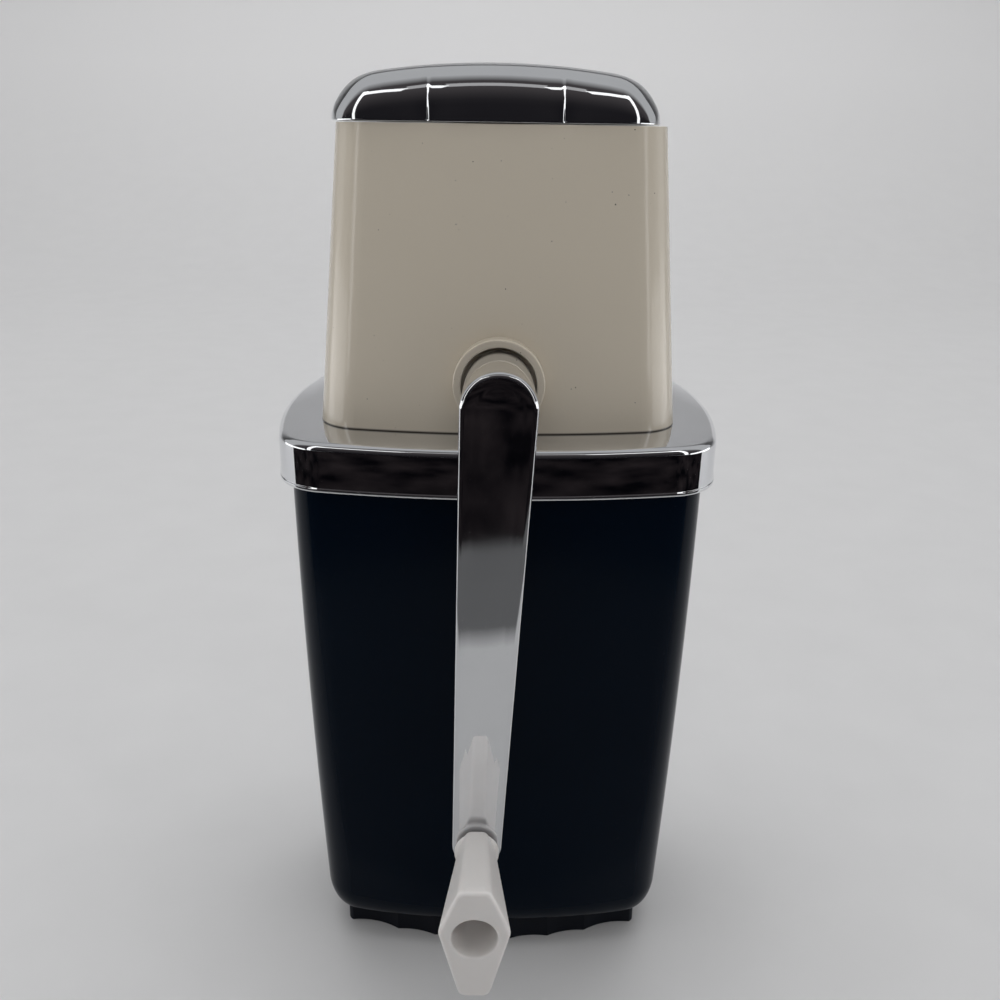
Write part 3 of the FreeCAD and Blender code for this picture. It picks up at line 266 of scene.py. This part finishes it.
class Outline:
    """A rectangle with four bowed sides and four round corners, all tangent arcs, seen from above."""

    def __init__(self, half_width, half_depth, front_bow, side_bow, corner):
        self.sizes = [half_width, half_depth, front_bow, side_bow, corner]

    def inset(self, gap):
        return Outline(*[length - gap for length in self.sizes])

    def towards(self, other, share):
        pairs = zip(self.sizes, other.sizes)
        return Outline(*[mine + share * (theirs - mine) for mine, theirs in pairs])

    def arcs(self):
        """Centre, radius, start and end of the eight arcs, from the right side round by the back."""
        half_width, half_depth, front, side, corner = self.sizes
        side_x, front_y = half_width - side, half_depth - front
        # A corner's centre is where circles round the centres of side and front cross
        apart = math.hypot(side_x, front_y)
        along = ((side - corner) ** 2 - (front - corner) ** 2 + apart ** 2) / (2 * apart)
        across = math.sqrt((side - corner) ** 2 - along ** 2)
        x = side_x + (-side_x * along - front_y * across) / apart
        y = (front_y * along - side_x * across) / apart
        turn = math.atan2(y, x - side_x)
        bend = math.atan2(y - front_y, x)
        half, full = math.pi, 2 * math.pi
        return [(side_x, 0, side, -turn, turn),
                (x, y, corner, turn, bend),
                (0, front_y, front, bend, half - bend),
                (-x, y, corner, half - bend, half - turn),
                (-side_x, 0, side, half - turn, half + turn),
                (-x, -y, corner, half + turn, half + bend),
                (0, -front_y, front, half + bend, full - bend),
                (x, -y, corner, full - bend, full - turn)]

    def ring(self, z, front_shares=None):
        """Points round the outline at one level; the front arc may have shares of its own."""
        points = []
        for index, (x, y, radius, start, end) in enumerate(self.arcs()):
            steps = ARC_STEPS[index % len(ARC_STEPS)]
            shares = [step / steps for step in range(steps)]
            if index == FRONT_ARC and front_shares:
                shares = front_shares
            for share in shares:
                angle = start + share * (end - start)
                points.append(Vector((x + radius * math.cos(angle), y + radius * math.sin(angle), z)))
        return points


def soft_path(corners, closed=True, steps=6):
    """Straight runs with rounded corners; each corner is a place and the radius that rounds it."""
    path = []
    for index, (across, height, radius) in enumerate(corners):
        here = Vector((across, height))
        if radius == 0 or not closed and index in (0, len(corners) - 1):
            path.append(here)
            continue
        before = (Vector(corners[index - 1][:2]) - here).normalized()
        after = (Vector(corners[(index + 1) % len(corners)][:2]) - here).normalized()
        half = before.angle(after) / 2
        centre = here + (before + after).normalized() * radius / math.sin(half)
        start = here + before * radius / math.tan(half) - centre
        end = here + after * radius / math.tan(half) - centre
        turn = start.angle(end)
        for step in range(steps + 1):
            share = step / steps
            swung = start * math.sin((1 - share) * turn) + end * math.sin(share * turn)
            path.append(centre + swung / math.sin(turn))
    return path


def skin(name, rings, body, node, slot, closed=False):
    """Joins rings of points, given in millimetres, into one smooth piece that stands for a node."""
    shape = bmesh.new()
    rows = [[shape.verts.new(point * MM) for point in ring] for ring in rings]
    pairs = list(zip(rows, rows[1:]))
    if closed:
        pairs.append((rows[-1], rows[0]))
    for lower, upper in pairs:
        for index in range(len(lower)):
            follow = (index + 1) % len(lower)
            shape.faces.new((lower[index], lower[follow], upper[follow], upper[index]))
    if not closed:
        shape.faces.new(rows[0])
        shape.faces.new(rows[-1])
    bmesh.ops.recalc_face_normals(shape, faces=shape.faces)
    # The bands between rings are smooth, and the flat end caps stay flat
    for face in shape.faces:
        face.smooth = len(face.verts) == 4
    mesh = bpy.data.meshes.new(name)
    shape.to_mesh(mesh)
    shape.free()
    piece = bpy.data.objects.new(name, mesh)
    bpy.context.scene.collection.objects.link(piece)
    mesh.materials.append(finishes[slot])
    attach(piece, body)
    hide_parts(node)


# Cup


def make_cup():
    """Glossy cup: a rounded bottom edge, bulged walls, a soft rim and a well that plugs the foot."""
    foot_z, (rim_x, rim_y, rim_z) = box_mm("rubber_foot")[1][2], box_mm("ice_cup")[1]
    height = rim_z - foot_z
    side_taper, front_taper = 4.1, 9.5
    rim = Outline(rim_x, rim_y, 212.1, 127.1, 12.1)
    bottom = Outline(rim_x - side_taper, rim_y - front_taper, 200.0, 110.0, 11.0)
    plug_play, plug_depth, plug_edge = 0.3, 4.7, 0.4
    plug = Outline(39.6, 23.0, 125.0, 150.0, 5.2).inset(plug_play)
    rise, rounding, wall, bulge, floor = 10.0, 5.0, 2.4, 0.85, 2.8
    rim_round, bevel, well_edge = 1.0, 2.4, 0.5
    wall_steps, round_steps = 14, 12

    def wall_outline(above, inset):
        """The bulged wall at a height above the foot, drawn in by an inset."""
        share = above / height
        return bottom.towards(rim, share).inset(inset - 4 * bulge * share * (1 - share))

    rings = [plug.inset(plug_edge).ring(foot_z - plug_depth), plug.ring(foot_z - plug_depth + plug_edge),
             plug.ring(foot_z)]
    for turn in turns(math.pi / 2, round_steps):
        outline = wall_outline(rise, rounding * (1 - math.sin(turn)))
        rings.append(outline.ring(foot_z + rise * (1 - math.cos(turn))))
    straight = height - rim_round - rise
    levels = [rise + straight * step / wall_steps for step in range(1, wall_steps + 1)]
    rings += [wall_outline(level, 0).ring(foot_z + level) for level in levels]
    for turn in turns(math.pi, round_steps)[1:]:
        level = height - rim_round + rim_round * math.sin(turn)
        rings.append(wall_outline(level, wall / 2 * (1 - math.cos(turn))).ring(foot_z + level))
    rings += [wall_outline(level, wall).ring(foot_z + level) for level in reversed(levels)]
    # Height above the foot, and inset from the inner wall, of the corner between wall and floor
    floor_edge = ((rise, 0.0), (floor + 1.2, 1.7), (floor + 0.3, bevel), (floor, bevel + 1))
    rings += [wall_outline(above, wall + inset).ring(foot_z + above) for above, inset in floor_edge]
    well = plug.inset(wall)
    floor_z, well_z = foot_z + floor, foot_z + floor - plug_depth
    rings += [well.inset(-well_edge).ring(floor_z), well.ring(floor_z - well_edge),
              well.ring(well_z + well_edge), well.inset(well_edge).ring(well_z)]
    skin("cup_shell", rings, "cup", "ice_cup", "navy_plastic")


# Collar


def make_collar():
    """Bright skirt with a rolled lip and a flat deck that is open below the picks."""
    (_, _, low_z), (half_width, half_depth, deck_z) = box_mm("collar")
    outline = Outline(half_width, half_depth, 215.0, 130.0, 15.0)
    outlet = Outline(33.0, 25.0, 200.0, 200.0, 8.0)
    sheet, step_in, lip, lip_slope = 1.3, 0.2, 0.9, 0.3
    inner, rim_width, under_inset = step_in + sheet, 9.0, 4.0
    edge_out, edge_drop, deck_shares = 0.1, 0.4, (0.5, 0.97)
    under_z = deck_z - sheet
    # Inset, height and rounding of the skirt's corners, from inside below the deck round to its top
    skirt = soft_path([(inner, under_z, 0.5), (inner, low_z, 0.4), (0, low_z, 0.5),
                       (0, low_z + lip, 0.2), (step_in, low_z + lip + lip_slope, 0.2),
                       (step_in, deck_z, 1.9), (rim_width, deck_z, 0)], closed=False)
    rings = [outline.inset(inset).ring(z) for inset, z in skirt]
    deck = outline.inset(rim_width)
    rings += [deck.towards(outlet, share).ring(deck_z) for share in deck_shares]
    rings += [outlet.inset(-edge_out).ring(deck_z - edge_out), outlet.ring(deck_z - edge_drop),
              outlet.ring(under_z), outline.inset(under_inset).ring(under_z)]
    skin("collar_skirt", rings, "head", "collar", "bright_chrome", closed=True)


# Lid


def pleat_shares(outline, pleat_x):
    """Shares of the front arc, close together where the pleats are."""
    _, _, radius, start, end = outline.arcs()[FRONT_ARC]
    beside_pleat = [0.0, 0.12, 0.28, 0.5, 0.8, 1.2, 1.8, 2.6, 3.6, 5.0]
    plain_step, plain_count, clear_of_pleat, clear_of_end = 3.2, 9, 6, 0.01
    plain = [plain_step * step for step in range(-plain_count, plain_count + 1)]
    places = {place for place in plain if abs(abs(place) - pleat_x) > clear_of_pleat}
    places |= {side * pleat_x + way * away for side in (1, -1) for way in (1, -1) for away in beside_pleat}
    middle = (start + end) / 2
    shares = sorted((middle + math.asin(place / radius) - start) / (end - start) for place in places)
    return [0.0] + [share for share in shares if clear_of_end < share < 1 - clear_of_end]


def make_lid():
    """Domed bright lid whose front is drawn into three cushions by two upright pleats."""
    (left_x, _, low_z), (right_x, _, top_z) = box_mm("lid_shell")
    middle_x, half_depth = (left_x + right_x) / 2, 25.1
    outline = Outline((right_x - left_x) / 2, half_depth, 200.0, 200.0, 10.0)
    crown, shoulder, sheet, hem, least_side = 185.0, 7.0, 1.2, 0.4, 0.1
    end_start, end_run, end_drop = 27.0, 14.0, 2.2
    pleat_x, pleat_depth, flank, cushion, crease_share = 15.65, 0.75, 0.55, 3.2, 0.4
    widening, dip, side_climb, fading = 1.2, 0.25, 0.25, 0.7
    hem_round, hem_middle = 0.12, 0.03
    shares = pleat_shares(outline, pleat_x)

    def crown_z(point, under):
        """The crown falls off faster over the last stretch at either end."""
        towards_end = min(1.0, max(0.0, (abs(point.x) - end_start) / end_run))
        end_fall = end_drop * towards_end ** 2 * (3 - 2 * towards_end)
        return top_z - under - (point.x ** 2 + point.y ** 2) / (2 * crown) - end_fall

    def reach_z(point, under):
        """Height of the rounded shoulder, which is less where the crown has fallen off."""
        return min(shoulder - under, crown_z(point, under) - low_z - hem - least_side)

    def pleated(point, climb):
        """Draws a point of the front inwards, most in the valley of a pleat and less with height."""
        if point.y > 0:
            return point
        away = abs(abs(point.x) - pleat_x)
        widen = 1 + widening * climb
        crease = max(0.0, 1 - away / (flank * widen))
        valley = crease_share * crease + (1 - crease_share) * math.exp(-(away / (cushion * widen)) ** 2)
        inwards = pleat_depth * valley * (1 - climb) ** fading
        return point + Vector((0, inwards, -dip * valley * climb * (1 - climb)))

    def side_ring(z_share, under):
        """A ring of the upright side, from the hem at 0 to the foot of the shoulder at 1."""
        ring = outline.inset(under).ring(0, shares)
        for point in ring:
            foot_z = crown_z(point, under) - reach_z(point, under)
            point.z = low_z + hem + z_share * (foot_z - low_z - hem)
        return [pleated(point, side_climb * z_share) for point in ring]

    def shoulder_ring(turn, under):
        """A ring of the rounded shoulder, from upright at 0 to level at a right angle."""
        ring = outline.inset(under + (shoulder - under) * (1 - math.cos(turn))).ring(0, shares)
        for point in ring:
            point.z = crown_z(point, under) - reach_z(point, under) * (1 - math.sin(turn))
        climb = side_climb + (1 - side_climb) * turn / (math.pi / 2)
        return [pleated(point, climb) for point in ring]

    def top_rings(under, steps=12):
        """Rings of the crown, which shrink towards its middle."""
        edge = outline.inset(shoulder).ring(0, shares)
        rings = []
        for step in range(1, steps):
            ring = [Vector((point.x, point.y, 0)) * (1 - step / steps) for point in edge]
            for point in ring:
                point.z = crown_z(point, under)
            rings.append(ring)
        return rings

    def face_rings(under):
        """All rings of one face, which lies under the outside by the given depth."""
        rings = [side_ring(z_share, under) for z_share in (0, 0.25, 0.5, 0.75)]
        rings += [shoulder_ring(turn, under) for turn in turns(math.pi / 2, 12)]
        return rings + top_rings(under)

    # Inset and height of the hem's lower edge, from the outer face round to the inner one
    hem_path = ((0, hem_round), (hem_middle, hem_middle), (hem_round, 0), (sheet - hem_round, 0),
                (sheet, hem_round))
    hem_rings = []
    for inset, rise in hem_path:
        hem_rings.append([pleated(point, 0) for point in outline.inset(inset).ring(low_z + rise, shares)])
    outside, inside = face_rings(0.0), face_rings(sheet)
    rings = list(reversed(outside)) + hem_rings + inside
    rings = [[point + Vector((middle_x, 0, 0)) for point in ring] for ring in rings]
    skin("lid_pressing", rings, "lid", "lid_shell", "bright_chrome")


# Crank arm and knob

# The crank hangs down from the shaft, turned by a little from the upright
CRANK_REACH = 115.0
CRANK_REST = math.radians(2.05)


def make_arm():
    """Tapered bar with round ends, softened edges and a slightly crowned front."""
    hub_end, knob_end, crown = 8.8, 6.4, 0.12
    edge_band, back_round, front_round = 3.0, 0.5, 1.3
    end_steps, face_steps, closing = 24, 6, 0.97
    (_, front_y, _), (_, back_y, top_z) = box_mm("crank_arm")
    shaft_z = top_z - hub_end
    face_y = front_y + crown

    def ring(scale, inset, y):
        """One outline of the bar, shrunk towards its middle line, at one depth."""
        high, low = (hub_end - inset) * scale, (knob_end - inset) * scale
        lean = math.asin((high - low) / CRANK_REACH)
        ends = ((0, high, -lean, math.pi + lean), (-CRANK_REACH, low, math.pi + lean, 2 * math.pi - lean))
        points = []
        for centre, radius, start, end in ends:
            for turn in turns(end - start, end_steps):
                x, z = radius * math.cos(start + turn), centre + radius * math.sin(start + turn)
                turned_x = x * math.cos(CRANK_REST) + z * math.sin(CRANK_REST)
                turned_z = z * math.cos(CRANK_REST) - x * math.sin(CRANK_REST)
                points.append(Vector((turned_x, y, shaft_z + turned_z)))
        return points

    path = soft_path([(edge_band, back_y, 0), (0, back_y, back_round), (0, face_y, front_round),
                      (edge_band, face_y, 0)], closed=False, steps=8)
    rings = [ring(1, inset, y) for inset, y in path]
    for step in range(1, face_steps + 1):
        share = step / face_steps
        rings.append(ring(1 - closing * share, edge_band, front_y + crown * (1 - share) ** 2))
    skin("crank_bar", rings, "crank", "crank_arm", "bright_chrome")


def seen_from_middle(path, count):
    """The same outline as points at even angles round its middle."""
    runs = list(zip(path, path[1:] + path[:1]))
    parallel = 1e-9
    places = []
    for angle in turns(2 * math.pi, count)[:-1]:
        ray = Vector((math.cos(angle), math.sin(angle)))
        reaches = []
        for start, end in runs:
            along = end - start
            across = ray.cross(along)
            if abs(across) > parallel:
                reaches.append(start.cross(along) / across)
        places.append(ray * min(reach for reach in reaches if reach > 0))
    return places


def make_knob():
    """Moulded grip: six soft sides that flare forward, and a deep round bore."""
    (_, front_y, low_z), (_, rear_y, _) = box_mm("crank_knob")
    # Half width, half flat, reach up, reach down and height of the side edges
    base = (5.0, 2.5, 7.2, 8.2, 0.8)
    front = (8.4, 3.5, 12.9, 16.9, 1.6)
    flat_round, side_round, edge_round = 1.8, 3.5, 0.9
    bore, mouth_round, bore_edge, pin_hole, web = 5.3, 0.6, 0.4, 3.0, 9.0
    flange, flange_length, flange_edge = 5.6, 1.3, 0.4
    knob_x, bore_z = -CRANK_REACH * math.sin(CRANK_REST), low_z + front[3]
    base_y, floor_y = rear_y - flange_length, rear_y - web
    count, length_steps, face_share = 144, 12, 0.6

    def six_sided(share, inset):
        """The outline between the base at 0 and the front at 1, as places round the bore."""
        width, flat, up, down, side = [low + share * (high - low) for low, high in zip(base, front)]
        edge, narrow = width - inset, flat - inset / 2
        corners = [(edge, side, side_round), (narrow, up - inset, flat_round),
                   (-narrow, up - inset, flat_round), (-edge, side, side_round),
                   (-narrow, inset - down, flat_round), (narrow, inset - down, flat_round)]
        return seen_from_middle(soft_path(corners, steps=8), count)

    def seat(places, y):
        """An outline round the bore, set at its place on the crank and at one depth."""
        return [Vector((knob_x + place.x, y, bore_z + place.y)) for place in places]

    def circle(radius):
        around = turns(2 * math.pi, count)[:-1]
        return [Vector((math.cos(turn), math.sin(turn))) * radius for turn in around]

    rings = [seat(circle(pin_hole), rear_y), seat(circle(flange - flange_edge), rear_y),
             seat(circle(flange), rear_y - flange_edge), seat(circle(flange), base_y)]
    for turn in turns(math.pi / 2, 3):
        outline = six_sided(0.0, edge_round * (1 - math.sin(turn)))
        rings.append(seat(outline, base_y - edge_round * (1 - math.cos(turn))))
    length = base_y - front_y - 2 * edge_round
    for step in range(1, length_steps):
        share = step / length_steps
        rings.append(seat(six_sided(share, 0), base_y - edge_round - length * share))
    for turn in turns(math.pi / 2, 8):
        outline = six_sided(1.0, edge_round * (1 - math.cos(turn)))
        rings.append(seat(outline, front_y + edge_round * (1 - math.sin(turn))))
    face, mouth = six_sided(1.0, edge_round), circle(bore + mouth_round)
    rings.append(seat([outer.lerp(inner, face_share) for outer, inner in zip(face, mouth)], front_y))
    for turn in turns(math.pi / 2, 5):
        outline = circle(bore + mouth_round * (1 - math.sin(turn)))
        rings.append(seat(outline, front_y + mouth_round * (1 - math.cos(turn))))
    rings += [seat(circle(bore), floor_y - bore_edge), seat(circle(bore - bore_edge), floor_y),
              seat(circle(pin_hole), floor_y)]
    skin("knob_grip", rings, "knob", "crank_knob", "white_plastic", closed=True)


make_cup()
make_collar()
make_lid()
make_arm()
make_knob()


# Stage, in metres


def pale_paper():
    """Pale sheet with painted light and shade: its wall is painted lighter over its first stretch and
    darker high up.
    """
    finish, place = new_finish("pale_paper")
    fibre = noise(place, scale=30, detail=3).ramp(0.3, 0.7)
    height = place.along("Z")
    low_shade = fibre.blend(grey(0.69, cool=0.005), grey(0.71, cool=0.005))
    # Painted light: the floor is painted darker than the wall, which is painted lighter up to 0.35 m;
    # painted shade darkens it from 0.5 to 0.68 m
    painted_wall_light, painted_high_shade = height.ramp(0.0, 0.35), height.ramp(0.50, 0.68)
    wall_with_painted_light = painted_wall_light.blend(low_shade, grey(0.80, cool=0.005))
    colour = painted_high_shade.blend(wall_with_painted_light, grey(0.50, cool=0.005))
    return coat_of(finish, place, Base_Color=colour, Roughness=0.6 + 0.05 * fibre)


def pale_glow():
    """Even pale light of the round backdrop."""
    finish, place = new_finish("pale_backdrop")
    mottle = noise(place, scale=0.5, detail=1)
    glow = mottle.blend(grey(0.50, cool=0.005), grey(0.54, cool=0.005))
    return coat_of(finish, place, Base_Color=(0, 0, 0, 1), Specular_IOR_Level=0.0, Emission_Color=glow,
                   Emission_Strength=1.0)


def painted_front_reflection():
    """Painted reflection for the mirrors: grey close to the object and dark further out, in steps by the
    distance from its middle.
    """
    finish, place = new_finish("dark_sheet")
    outward = place.node("ShaderNodeVectorMath", {"operation": "LENGTH"}, {0: place}, output="Value")
    reflection_mottle = noise(place, scale=9, detail=3).ramp(0.35, 0.7)
    dark = reflection_mottle.blend((0.002, 0.002, 0.003, 1), (0.022, 0.018, 0.019, 1))
    second_zone, outer_zone = outward.ramp(0.26, 0.28), outward.ramp(0.375, 0.395)
    # Painted reflection: the grey near zone stands in for the pale floor and the dark outer zone for the
    # shade in front of the object
    near = second_zone.blend(grey(0.5), grey(0.13, cool=0.002))
    colour = outer_zone.blend(near, dark)
    return coat_of(finish, place, Base_Color=colour, Specular_IOR_Level=0.0, Roughness=0.9)


def sheet_piece(name, points, faces, finish):
    """A thin stage piece from its points and faces, given in metres."""
    mesh = bpy.data.meshes.new(name)
    mesh.from_pydata(points, [], faces)
    mesh.shade_smooth()
    mesh.materials.append(finish)
    sheet = bpy.data.objects.new(name, mesh)
    bpy.context.scene.collection.objects.link(sheet)
    return sheet


def lay_cove():
    """A pale sheet that lies flat under the object and sweeps up behind it without a line."""
    half_width, front, rear, height, sweep_radius = 4.0, -3.0, 2.2, 2.8, 1.1
    below_foot = 0.2 * MM
    profile = [(front, 0.0, 0), (rear, 0.0, sweep_radius), (rear, height, 0)]
    path = soft_path(profile, closed=False, steps=24)
    points = [(side * half_width, place.x, place.y - below_foot) for place in path for side in (-1, 1)]
    faces = [(2 * index, 2 * index + 1, 2 * index + 3, 2 * index + 2) for index in range(len(path) - 1)]
    cove = sheet_piece("cove", points, faces, pale_paper())


def hang_backdrop():
    """A pale round backdrop, which only the camera sees, for views from the sides and from behind."""
    radius, low, high, sides = 5.5, -0.01, 6.0, 64
    around = turns(2 * math.pi, sides)[:-1]
    points = [(radius * math.cos(turn), radius * math.sin(turn), z) for z in (low, high) for turn in around]
    following = [(index + 1) % sides for index in range(sides)]
    faces = [(index, after, sides + after, sides + index) for index, after in enumerate(following)]
    backdrop = sheet_piece("backdrop", points, faces, pale_glow())
    backdrop.visible_diffuse = False
    backdrop.visible_glossy = False
    backdrop.visible_shadow = False


def dark_front():
    """A sheet on the floor before the object, darker further out, which only mirrors see."""
    half_width, near_y, far_y, lift = 1.6, -0.05, -2.9, 0.002
    points = [(side * half_width, y, lift) for y in (near_y, far_y) for side in (-1, 1)]
    sheet = sheet_piece("dark_sheet", points, [(0, 1, 3, 2)], painted_front_reflection())
    sheet.visible_camera = False
    sheet.visible_diffuse = False
    sheet.visible_shadow = False


def area_light(name, place, target, width, height, power):
    """A rectangular light that faces its target, with its power in watts."""
    lamp = bpy.data.lights.new(name, "AREA")
    lamp.shape = "RECTANGLE"
    lamp.size, lamp.size_y = width, height
    lamp.energy = power
    holder = bpy.data.objects.new(name, lamp)
    holder.location = place
    aim = Vector(target) - Vector(place)
    holder.rotation_euler = aim.to_track_quat("-Z", "Y").to_euler()
    bpy.context.scene.collection.objects.link(holder)
    return holder


def rise_from_front(direction):
    """Angle of a direction in degrees, from 0 level in front over 90 overhead to 180 behind."""
    ahead, upward = 0.0 - direction.along("Y"), direction.along("Z")
    return direction.maths("ARCTAN2", upward, ahead) * math.degrees(1)


def room_light():
    """Dark in front, and grey overhead and behind."""
    world = bpy.data.worlds.new("studio")
    world.use_nodes = True
    rise = rise_from_front(Wire(world.node_tree).node("ShaderNodeTexCoord", output="Generated"))
    ahead = rise.ramp(-5.0, 40.0).blend((0.006, 0.006, 0.008, 1), (0.055, 0.05, 0.052, 1))
    colour = rise.ramp(62.0, 84.0).blend(ahead, (0.44, 0.445, 0.45, 1))
    world.node_tree.links.new(colour.socket, world.node_tree.nodes["Background"].inputs["Color"])
    bpy.context.scene.world = world


def strip_lights():
    """Narrow lights high in front and at the sides, which the bright pieces mirror."""
    middle, panel_level = (0, 0, 0.15), (0, -0.11, 0.11)
    area_light("front_strip", (0.0, -0.62, 0.94), middle, width=0.5, height=0.16, power=0.09)
    for side in (-1, 1):
        area_light("high_strip", (side * 0.43, -0.62, 0.94), middle, width=0.36, height=0.13, power=0.19)
        area_light("side_strip", (side * 0.62, -0.5, 0.5), middle, width=0.12, height=0.86, power=0.45)
        panel = area_light("low_panel", (side * 0.9, -0.11, 0.11), panel_level, width=0.86, height=0.18,
                           power=0.6)
        panel.visible_diffuse = False


def soft_lights():
    """Wide lights for the even shade of dull pieces and of the stage, which mirrors don't show."""
    # Name, place, target, width, height and power
    rows = (("front_fill", (0.0, -1.6, 0.9), (0, 0, 0.15), 1.2, 0.8, 2.4),
            ("ceiling_light", (0.0, 0.5, 2.4), (0, 0.3, 0), 2.4, 2.4, 26.0),
            ("wall_light", (0.0, 0.9, 1.9), (0, 2.3, 0.4), 3.0, 0.5, 10.5),
            ("left_fill", (-2.3, -0.1, 0.6), (0, 0, 0.2), 1.4, 1.0, 10.0),
            ("right_fill", (2.3, -0.1, 0.6), (0, 0, 0.2), 1.4, 1.0, 9.0))
    for row in rows:
        area_light(*row).visible_glossy = False


def aim_camera():
    """It stands level with the lid's hem and looks down by about 20 degrees, as in the photograph."""
    pitch, roll, yaw = 0.353, 0.015, 0.009
    eye = Vector((-1.41, -265.6, 228.0)) * MM
    sensor_width, focal_length, nearest = 36.0, 36.1, 0.01
    forward = Vector((math.sin(yaw) * math.cos(pitch), math.cos(yaw) * math.cos(pitch), -math.sin(pitch)))
    level = Vector((math.cos(yaw), -math.sin(yaw), 0))
    upright = level.cross(forward)
    right = math.cos(roll) * level + math.sin(roll) * upright
    up = math.cos(roll) * upright - math.sin(roll) * level
    camera = bpy.data.objects.new("camera", bpy.data.cameras.new("camera"))
    turned = Matrix((right, up, -forward)).transposed().to_4x4()
    camera.matrix_world = Matrix.Translation(eye) @ turned
    camera.data.sensor_width = sensor_width
    camera.data.lens = focal_length
    camera.data.clip_start = nearest
    bpy.context.scene.collection.objects.link(camera)
    bpy.context.scene.camera = camera


lay_cove()
hang_backdrop()
room_light()
strip_lights()
soft_lights()
dark_front()
aim_camera()
bpy.context.scene.view_settings.view_transform = "Standard"
